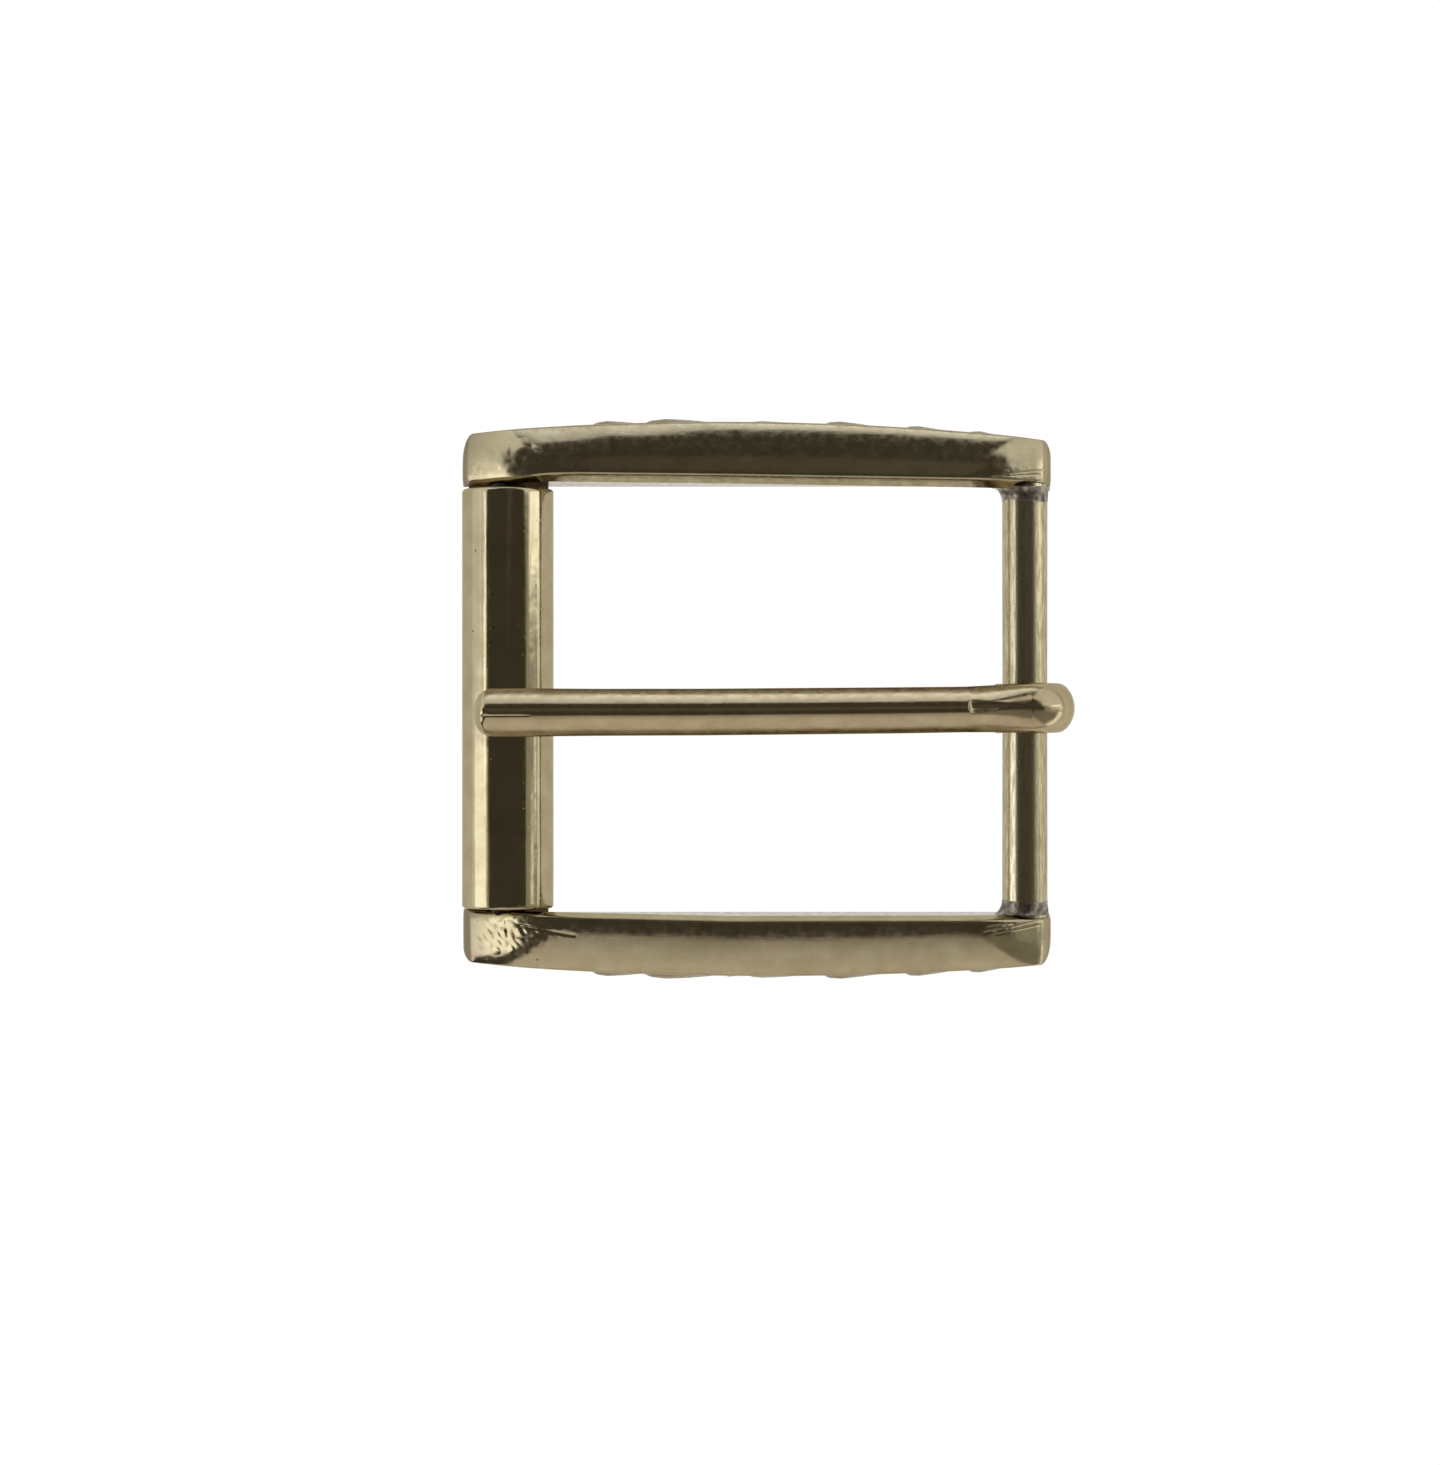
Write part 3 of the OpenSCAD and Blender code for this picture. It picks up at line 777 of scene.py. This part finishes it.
def marked(up, x, y, z, from_tip, past):
    """The points' heights above the line after the groove, the scored line, the dimple, the fan of
    creases and a faint unevenness."""
    floor = np.maximum(groove_floor(x, y), z + METAL_UNDER_GROOVE)
    grooved = soft_least(z + up, floor, GROOVE_EDGE)
    on_head = (past <= 0) & (x < GROOVE_LIMIT_X)
    up = np.where(on_head & (up > 0.8), grooved - z, up)
    scored = plateau(from_tip, SCORE_STARTS, SCORE_ENDS)
    up = up - SCORE_DEPTH * scored * np.exp(-((y - SCORE_SIDE) / SCORE_HALF) ** 2) * (up > 1)
    up = up - DIMPLE_DEPTH * patch(from_tip, y, *DIMPLE) * (up > 1)
    bent = plateau(past, FAN_STARTS, FAN_ENDS)
    fan = y / (FAN_SPACING * np.clip(past + 2.4, 1, 9))
    up = up + FAN_HEIGHT * bent * (np.abs(np.sin(np.pi * fan)) - 0.6) * (up > 0.8)
    return up + PRONG_WAVE_HEIGHT * waves(x, 2 * y, PRONG_SEED, *PRONG_WAVE_LENGTHS) * (up > 0.5)


# %% The prong
def rounded_end(distance, reach, power, least):
    """The share of full size at a distance from an end that is rounded by a superellipse."""
    return np.clip(1 - (1 - np.clip(distance / reach, 0, 1)) ** power, least, 1) ** (1 / power)


def prong_rings():
    """The sections set along the line, skewed and tipped to rest on the roller, then turned to point
    along -X."""
    x, z, out_x, out_z, way, past = prong_line()
    from_tip = np.clip(PRONG_TIP_X - x, 0, None)
    at_back = smooth_step(past, *ROOF_CHANGE)
    tail_round = rounded_end(way[-1] - way, TAIL_ROUND, 2, LEAST_TAIL)
    half_width = np.where(past > 0, LOOP_HALF_WIDTH, np.interp(x, HALF_WIDTH_PLACES, HALF_WIDTHS))
    half_width = half_width * rounded_end(from_tip, TIP_ROUND_ACROSS, 2, LEAST_TIP) * tail_round
    top = HEAD_TOP + (SHANK_TOP - HEAD_TOP) * np.clip(x / NECK_X, 0, 1)
    top = soft_least(top, SHANK_TOP, TOP_CORNER)
    height = np.where(past > 0, HEAD_TOP - PRONG_BORE_R, top - z)
    height = height - HEAD_EASE * (1 - np.exp(-np.clip(past, 0, None) / HEAD_EASE_WAY))
    for change, start, end in THICKNESS_CHANGES:
        height = height + change * smooth_step(past, start, end)
    height = height * rounded_end(from_tip, TIP_ROUND_UP, TIP_ROUND_POWER, LEAST_TIP) * tail_round

    def blended(which):
        both_roofs = zip(SHANK_ROOFS[which], LOOP_ROOFS[which])
        return [np.interp(at_back, [0, 1], shank_and_loop) for shank_and_loop in both_roofs]

    minus_out, minus_up = prong_half(half_width, height, blended("minus_y"))
    plus_out, plus_up = prong_half(half_width, height, blended("plus_y"))
    y = np.concatenate([minus_out, -plus_out[:, -2:0:-1]], axis=1)
    up = np.concatenate([minus_up, plus_up[:, -2:0:-1]], axis=1)
    up = marked(up, x[:, None], y, z[:, None], from_tip[:, None], past[:, None])

    forward = x[:, None] + out_x[:, None] * up
    high = z[:, None] + out_z[:, None] * up
    bow = np.interp(x, BOW_PLACES, BOWS)
    skew = np.where(past > 0, 0, smooth_step(x, 0, 5))
    sideways = y + bow[:, None] + skew[:, None] * np.tan(PRONG_SKEW) * forward
    rest_x = forward * np.cos(PRONG_REST_TILT) - high * np.sin(PRONG_REST_TILT)
    rest_z = forward * np.sin(PRONG_REST_TILT) + high * np.cos(PRONG_REST_TILT)
    return np.stack([HEEL_BAR_X - rest_x, PRONG_Y - sideways, HEEL_BAR_Z + rest_z], axis=-1)


prong = skin("prong_bar", prong_rings())

# %% [markdown]
# Brass that has dulled a little reflects about a third of the light, warm in tone, and at a grazing
# angle it stays brown rather than turning white: that is the edge tint. Its surface is not even. Thin
# films of tarnish change the colour, wear changes the gloss, small pits are left from the casting, and
# polishing leaves hair-fine scratches. All of it is made from noise on Object coordinates, so it stays
# with the piece from every side.

# %% Helpers for finishes
def emptied(owner):
    """The nodes and links of a material or a world, after all its nodes are cleared."""
    owner.use_nodes = True
    owner.node_tree.nodes.clear()
    return owner.node_tree.nodes, owner.node_tree.links


def new_material(name):
    """A material with an empty Principled surface for metal, its nodes, its links and the place on the
    piece."""
    material = bpy.data.materials.new(name)
    nodes, links = emptied(material)
    shader = nodes.new("ShaderNodeBsdfPrincipled")
    shader.inputs["Metallic"].default_value = 1.0
    output = nodes.new("ShaderNodeOutputMaterial")
    links.new(shader.outputs["BSDF"], output.inputs["Surface"])
    place = nodes.new("ShaderNodeTexCoord").outputs["Object"]
    return material, nodes, links, shader, place


def noise(nodes, links, place, scale, detail, stretch=(1, 1, 1)):
    """A noise texture. Scale is in features per metre, and stretch multiplies it on each axis."""
    mapping = nodes.new("ShaderNodeMapping")
    mapping.inputs["Scale"].default_value = stretch
    links.new(place, mapping.inputs["Vector"])
    texture = nodes.new("ShaderNodeTexNoise")
    texture.inputs["Scale"].default_value = scale
    texture.inputs["Detail"].default_value = detail
    links.new(mapping.outputs["Vector"], texture.inputs["Vector"])
    return texture.outputs["Fac"]


def graded(nodes, links, value, stops):
    """A colour ramp between two stops of (place, colour)."""
    ramp = nodes.new("ShaderNodeValToRGB")
    for element, (place, colour) in zip(ramp.color_ramp.elements, stops):
        element.position = place
        element.color = (*colour, 1)
    links.new(value, ramp.inputs["Fac"])
    return ramp.outputs["Color"]


def ranged(nodes, links, value, low, high, from_low=0.3, from_high=0.7):
    """Value carried from one range to another, and held within it."""
    node = nodes.new("ShaderNodeMapRange")
    node.inputs["From Min"].default_value = from_low
    node.inputs["From Max"].default_value = from_high
    node.inputs["To Min"].default_value = low
    node.inputs["To Max"].default_value = high
    links.new(value, node.inputs["Value"])
    return node.outputs["Result"]


def bumped(nodes, links, height, distance, under=None):
    """A bump of that height in metres, laid over another bump if one is given."""
    node = nodes.new("ShaderNodeBump")
    node.inputs["Distance"].default_value = distance
    links.new(height, node.inputs["Height"])
    if under is not None:
        links.new(under, node.inputs["Normal"])
    return node.outputs["Normal"]


def mixed(nodes, links, share, under, over, way="MIX"):
    """One colour over another by a share, or wholly if there is none. Over is a socket or a plain
    colour."""
    node = nodes.new("ShaderNodeMix")
    node.data_type = "RGBA"
    node.blend_type = way
    colours = [socket for socket in node.inputs if socket.type == "RGBA"]
    node.inputs["Factor"].default_value = 1.0
    if share is not None:
        links.new(share, node.inputs["Factor"])
    links.new(under, colours[0])
    if isinstance(over, tuple):
        colours[1].default_value = (*over, 1)
    else:
        links.new(over, colours[1])
    return [socket for socket in node.outputs if socket.type == "RGBA"][0]


def spots(nodes, links, place, scale, size, rarity):
    """1 in small round spots, one at most in each cell, and only in the cells whose chance is above
    rarity."""
    cells = nodes.new("ShaderNodeTexVoronoi")
    cells.inputs["Scale"].default_value = scale
    links.new(place, cells.inputs["Vector"])
    chance = nodes.new("ShaderNodeSeparateColor")
    links.new(cells.outputs["Color"], chance.inputs["Color"])
    near = ranged(nodes, links, cells.outputs["Distance"], 1, 0, 0.4 * size, size)
    chosen = ranged(nodes, links, chance.outputs["Red"], 0, 1, rarity, rarity + 0.01)
    both = nodes.new("ShaderNodeMath")
    both.operation = "MULTIPLY"
    links.new(near, both.inputs[0])
    links.new(chosen, both.inputs[1])
    return both.outputs["Value"]


# %% Polished brass
EDGE_TINT = (0.74, 0.70, 0.62)
# The browner, darker colour that the rails turn to towards the bottom of their walls
LOW_WALL_BROWN = (0.215, 0.175, 0.115)
SPOT_BROWN = (0.16, 0.12, 0.065)
GROUND_BROWN = (0.12, 0.094, 0.06)
CLOUD_SCALE = 420
FLECK_SCALE = 3400
FLECK_TINTS = [(0.36, (0.96, 1.0, 0.95)), (0.64, (1.04, 1.0, 1.0))]
SPOT_SCALE = 520
SPOT_SIZE = 0.085
SPOT_RARITY = 0.82
SMEAR_SCALE = 1500
SOFT_HEIGHT = 0.00002
PIT_SCALE = 2600
PIT_DEPTH = 0.000007
SCRATCH_SCALE = 1100


def brass(name, light, deep, gloss, scratch_stretch, scratch_depth, smear_stretch=(1, 1, 1),
          darker_below_heights=None):
    """Dulled brass between a light and a deep tone, with roughness in a range and scratches along one
    way. Where heights are given, the brass turns browner and darker towards the bottom between them,
    and the ground between the leaves is darker still."""
    material, nodes, links, shader, place = new_material(name)
    shader.inputs["Specular Tint"].default_value = (*EDGE_TINT, 1)
    cloud = noise(nodes, links, place, CLOUD_SCALE, 6)
    polished = graded(nodes, links, cloud, [(0.34, deep), (0.62, light)])
    tint = graded(nodes, links, noise(nodes, links, place, FLECK_SCALE, 3), FLECK_TINTS)
    polished = mixed(nodes, links, None, polished, tint, "MULTIPLY")
    spotted = spots(nodes, links, place, SPOT_SCALE, SPOT_SIZE, SPOT_RARITY)
    polished = mixed(nodes, links, spotted, polished, SPOT_BROWN)
    if darker_below_heights is not None:
        height = nodes.new("ShaderNodeSeparateXYZ")
        links.new(place, height.inputs["Vector"])
        darkest_below, darkening_from = darker_below_heights
        # Browner and darker towards the bottom: wholly below the lower height, fading out by the upper
        # one
        lower_share = ranged(nodes, links, height.outputs["Z"], 1, 0, darkest_below * MM, darkening_from * MM)
        polished = mixed(nodes, links, lower_share, polished, LOW_WALL_BROWN)
        bare = nodes.new("ShaderNodeAttribute")
        bare.attribute_name = "ground"
        polished = mixed(nodes, links, bare.outputs["Fac"], polished, GROUND_BROWN)
    links.new(polished, shader.inputs["Base Color"])
    smear = noise(nodes, links, place, SMEAR_SCALE, 6, smear_stretch)
    links.new(ranged(nodes, links, smear, *gloss, 0.35, 0.7), shader.inputs["Roughness"])
    soft = bumped(nodes, links, noise(nodes, links, place, CLOUD_SCALE, 2), SOFT_HEIGHT)
    pits = ranged(nodes, links, noise(nodes, links, place, PIT_SCALE, 2), 0, 1, 0.70, 0.80)
    pitted = bumped(nodes, links, pits, -PIT_DEPTH, under=soft)
    scratches = noise(nodes, links, place, SCRATCH_SCALE, 3, scratch_stretch)
    links.new(bumped(nodes, links, scratches, scratch_depth, under=pitted), shader.inputs["Normal"])
    return material


LIGHT_BRASS = (0.39, 0.333, 0.21)
DEEP_BRASS = (0.335, 0.28, 0.166)
PRONG_LIGHT = (0.40, 0.33, 0.202)
PRONG_DEEP = (0.35, 0.283, 0.165)
rail_brass = brass("cast_brass", LIGHT_BRASS, DEEP_BRASS, (0.11, 0.26), (0.25, 3.0, 3.0), 0.000005,
                   darker_below_heights=(4.6, 5.8))
roller_brass = brass("roller_brass", LIGHT_BRASS, DEEP_BRASS, (0.05, 0.13), (5.0, 0.08, 5.0), 0.000005,
                     smear_stretch=(2.0, 0.25, 2.0))
prong_brass = brass("prong_brass", PRONG_LIGHT, PRONG_DEEP, (0.12, 0.22), (0.2, 4.0, 4.0), 0.000002)

# %% [markdown]
# The heel bar is the same brass, unpolished: a grainy skin of small pits, which breaks its reflections
# into mottled stripes. The solder is a grey lead-tin alloy, duller and darker in its hollows. The axle
# is never polished, and it is painted nearly black as painted shade: it lies in the roller's shadow and
# shows only through the narrow gaps at the roller's ends.

# %% Rough brass and solder
GRAIN_STRETCH = (1.7, 0.22, 1.7)
GRAIN_TONES = [(0.35, (0.32, 0.27, 0.155)), (0.62, (0.50, 0.44, 0.285))]
CRUST_TONES = [(0.36, (0.085, 0.072, 0.054)), (0.64, (0.33, 0.292, 0.232))]
# Painted shade: the axle is nearly black because it is seen only in the roller's shadow
AXLE_SHADE_TONES = [(0.35, (0.012, 0.009, 0.006)), (0.65, (0.06, 0.045, 0.03))]


def rough(name, scale, detail, stretch, tones, gloss, height):
    """Metal whose tone, gloss and bumps come from one noise, and its shader. Without a height it has no
    bumps."""
    material, nodes, links, shader, place = new_material(name)
    grain = noise(nodes, links, place, scale, detail, stretch)
    links.new(graded(nodes, links, grain, tones), shader.inputs["Base Color"])
    links.new(ranged(nodes, links, grain, *gloss), shader.inputs["Roughness"])
    if height is not None:
        links.new(bumped(nodes, links, grain, height), shader.inputs["Normal"])
    return material, shader


heel_bar_brass, heel_bar_shader = rough(
    "heel_bar_brass", 2600, 4, GRAIN_STRETCH, GRAIN_TONES, (0.30, 0.16), 0.000008)
heel_bar_shader.inputs["Specular Tint"].default_value = (*EDGE_TINT, 1)
solder_grey, _ = rough("solder_grey", 1400, 5, (1, 1, 1), CRUST_TONES, (0.5, 0.2), 0.00007)
axle_brass, _ = rough("axle_brass", 1800, 4, (1, 1, 1), AXLE_SHADE_TONES, (0.7, 0.5), None)

# %% Finishes onto pieces
for piece in rails.values():
    piece.data.materials.append(rail_brass)
heel_bar.data.materials.append(heel_bar_brass)
for piece in solder.values():
    piece.data.materials.append(solder_grey)
roller.data.materials.append(roller_brass)
prong.data.materials.append(prong_brass)
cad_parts["roller_axle"].data.materials.clear()
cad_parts["roller_axle"].data.materials.append(axle_brass)
print("finishes:", [material.name for material in bpy.data.materials])

# %% [markdown]
# A mirror finish shows the room, so the room is what paints this picture. The real room isn't known,
# and a made-up one stands in for it: a dome round the buckle that glows where walls, a window and lamps
# could be, and is dim overhead, where a camera would stand. Each glow is given by compass angle and
# height angle, chosen so that the stripes in the metal fall as in the photograph. A surface that leans
# by some angle mirrors the light that stands twice that far from the view.

# %% The room's lights
DOME_RADIUS = 800.0
DIM_OVERHEAD = (0.092, 0.083, 0.072)
SOFTNESS_BELOW = 0.8
LIGHTS = [
    # azimuth from and to, elevation from and to, softness across and up, colour of the glow
    # the wall and window behind the camera's foot, brighter towards the floor
    (-124, -96, 1.5, 63.5, 3.0, 1.5, (0.60, 0.58, 0.60)),
    (-96, -57, 1.5, 61.0, 3.0, 5.0, (0.52, 0.50, 0.51)),
    (-124, -57, 1.5, 46.0, 3.0, 11.0, (0.24, 0.235, 0.235)),
    (-124, -57, 1.5, 24.0, 3.0, 11.0, (0.14, 0.13, 0.13)),
    # the brown table beyond the plate
    (-124, -57, -16.0, 1.5, 3.0, 0.8, (0.30, 0.25, 0.17)),
    (64, 110, -16.0, 5.0, 3.0, 0.8, (0.30, 0.25, 0.17)),
    # the wall at the head, a low bright strip under a dimmer one
    (64, 110, 5.0, 21.5, 8.0, 2.0, (1.08, 1.14, 1.32)),
    (64, 110, 5.0, 11.0, 8.0, 4.0, (0.66, 0.70, 0.86)),
    (64, 92, 5.0, 17.0, 4.0, 4.0, (0.26, 0.28, 0.34)),
    # the left side: a plain wall, a lamp over a narrow strip, the pale table below, and a brighter part
    (112, 212, -7.0, 37.0, 2.0, 3.0, (1.16, 1.20, 1.28)),
    (171, 181, 31.5, 35.0, 1.5, 1.5, (1.70, 1.72, 1.78)),
    (171, 181, 19.0, 21.0, 1.5, 1.0, (0.60, 0.60, 0.62)),
    (112, 212, -16.0, -7.0, 2.0, 0.8, (0.62, 0.58, 0.50)),
    (180, 212, 3.0, 40.0, 1.5, 6.0, (1.25, 1.28, 1.35)),
    # the right side: a dim wall, the pale table below, a brighter wall, a lamp and three small strips
    (-14, 8, -3.0, 42.0, 1.5, 3.0, (0.44, 0.46, 0.44)),
    (-60, 62, -16.0, -4.0, 3.0, 0.6, (0.62, 0.58, 0.50)),
    (8, 62, -3.0, 46.0, 1.5, 2.0, (1.12, 1.14, 1.22)),
    (3.2, 8.5, 2.0, 32.0, 0.8, 5.0, (2.00, 2.05, 2.20)),
    (-6, 4, -3.0, 8.0, 1.5, 2.0, (0.95, 1.00, 1.05)),
    (-2.6, 0, 11.0, 18.0, 0.8, 2.0, (1.30, 1.32, 1.38)),
    (-5, -2.6, 19.0, 28.0, 0.8, 2.5, (1.40, 1.42, 1.48)),
    # to the right of the camera's foot, a low bright strip under a faint wall
    (-55, -10, -3.0, 9.0, 4.0, 2.0, (1.70, 1.75, 1.85)),
    (-58, -14, 9.0, 60.0, 3.0, 4.0, (0.26, 0.25, 0.23)),
    # a faint glow of the ceiling towards the head
    (30, 100, 60.0, 84.0, 12.0, 6.0, (0.07, 0.065, 0.055)),
]


def between(value, start, end, soft_start, soft_end):
    """1 between start and end, and a smooth fall to 0 over the softness on each side."""
    return plateau(value, (start - soft_start, start + soft_start), (end - soft_end, end + soft_end))


def room_glow(azimuth, elevation):
    """The dim room and the sum of all lights, as colours for arrays of directions in degrees."""
    total = np.zeros((*np.broadcast(azimuth, elevation).shape, 3)) + DIM_OVERHEAD
    for left, right, lowest, highest, soft_across, soft_up, colour in LIGHTS:
        turned_by = (azimuth - (left + right) / 2 + 180) % 360 - 180
        half = (right - left) / 2
        across = between(turned_by, -half, half, soft_across, soft_across)
        upwards = between(elevation, lowest, highest, SOFTNESS_BELOW, soft_up)
        total = total + (across * upwards)[..., None] * np.array(colour)
    return total


# %% The room as a dome
LOWEST_GLOW = -16
PER_DEGREE_UP = 2


def glowing(name):
    """A surface that gives the light stored in its points."""
    material = bpy.data.materials.new(name)
    nodes, links = emptied(material)
    stored = nodes.new("ShaderNodeAttribute")
    stored.attribute_name = "glow"
    emission = nodes.new("ShaderNodeEmission")
    output = nodes.new("ShaderNodeOutputMaterial")
    links.new(stored.outputs["Color"], emission.inputs["Color"])
    links.new(emission.outputs["Emission"], output.inputs["Surface"])
    return material


def sheet(name, points, colours):
    """An open stage mesh from a grid of points, with a colour of light at each."""
    rows, columns, _ = points.shape
    index = np.arange(rows * columns).reshape(rows, columns)
    corners = [index[:-1, :-1], index[:-1, 1:], index[1:, 1:], index[1:, :-1]]
    quads = np.stack(corners, axis=-1).reshape(-1, 4)
    piece = link_mesh(name, points.reshape(-1, 3), quads.tolist())
    stored = piece.data.attributes.new("glow", "FLOAT_COLOR", "POINT")
    opaque = np.concatenate([colours.reshape(-1, 3), np.ones((rows * columns, 1))], axis=1)
    stored.data.foreach_set("color", opaque.ravel())
    return piece


azimuths = np.linspace(-180, 180, 361)
elevations = np.linspace(LOWEST_GLOW, 90, (90 - LOWEST_GLOW) * PER_DEGREE_UP + 1)
dome_azimuth, dome_elevation = np.meshgrid(azimuths, elevations)
round_turn = np.radians(dome_azimuth)
up_turn = np.radians(dome_elevation)
level = np.cos(up_turn)
dome_points = DOME_RADIUS * np.stack([
    level * np.cos(round_turn), level * np.sin(round_turn), np.sin(up_turn)], axis=-1)
dome = sheet("room_dome", dome_points, room_glow(dome_azimuth, dome_elevation))
dome.data.materials.append(glowing("room_light"))
dome.visible_camera = False
print("a dome of", dome_azimuth.shape, "points, lit by", len(LIGHTS), "lights")

# %% [markdown]
# The photograph shows no shadows, so the plate under the buckle is a white sheet that glows and takes
# none. It is only a little larger than the picture, because the thin brown lines in the metal are taken
# for the dark room just past its edge. A glowing plate isn't shaded by the roller either, so a dark
# sheet lies on it there and stands in for that shade. It keeps the narrow gaps at the roller's ends
# dark, and from the side it shows as a dark strip. Past the plate the camera sees plain white.

# %% Plate and room
PLATE_X = (-79.5, 70.5)
PLATE_Y = (-78.0, 72.0)
PLATE_Z = -0.02
SHADE_X = (-28.1, -20.6)
SHADE_Y = (-20.2, 20.2)
PAPER_WHITE = 1.02
SHADE_BROWN = (0.05, 0.035, 0.02)
ROOM_BROWN = (0.38, 0.32, 0.23)


def flat_sheet(name, reach_x, reach_y, z, colour):
    """A level rectangle that glows evenly."""
    x, y = np.meshgrid(np.linspace(*reach_x, 3), np.linspace(*reach_y, 3))
    points = np.stack([x, y, np.full_like(x, z)], axis=-1)
    return sheet(name, points, np.zeros_like(points) + colour)


plate = flat_sheet("white_plate", PLATE_X, PLATE_Y, PLATE_Z, PAPER_WHITE)
plate.data.materials.append(glowing("plate_light"))
shade = flat_sheet("roller_shade", SHADE_X, SHADE_Y, PLATE_Z / 2, SHADE_BROWN)
shade.data.materials.append(glowing("shade_light"))

room = bpy.data.worlds.new("room")
bpy.context.scene.world = room
room_nodes, room_links = emptied(room)
dim = room_nodes.new("ShaderNodeBackground")
dim.inputs["Color"].default_value = (*ROOM_BROWN, 1)
white = room_nodes.new("ShaderNodeBackground")
white.inputs["Color"].default_value = (1, 1, 1, 1)
white.inputs["Strength"].default_value = PAPER_WHITE
ray = room_nodes.new("ShaderNodeLightPath")
choose = room_nodes.new("ShaderNodeMixShader")
room_output = room_nodes.new("ShaderNodeOutputWorld")
room_links.new(ray.outputs["Is Camera Ray"], choose.inputs["Fac"])
room_links.new(dim.outputs["Background"], choose.inputs[1])
room_links.new(white.outputs["Background"], choose.inputs[2])
room_links.new(choose.outputs["Shader"], room_output.inputs["Surface"])

# %% [markdown]
# Each piece rides on the body that carries it, and stands for the plain solid of the part.

# %% Pieces to bodies
for piece in [*rails.values(), heel_bar, *solder.values()]:
    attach(piece, "frame")
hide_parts("frame")
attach(roller, "roller")
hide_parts("roller")
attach(prong, "prong")
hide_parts("prong")
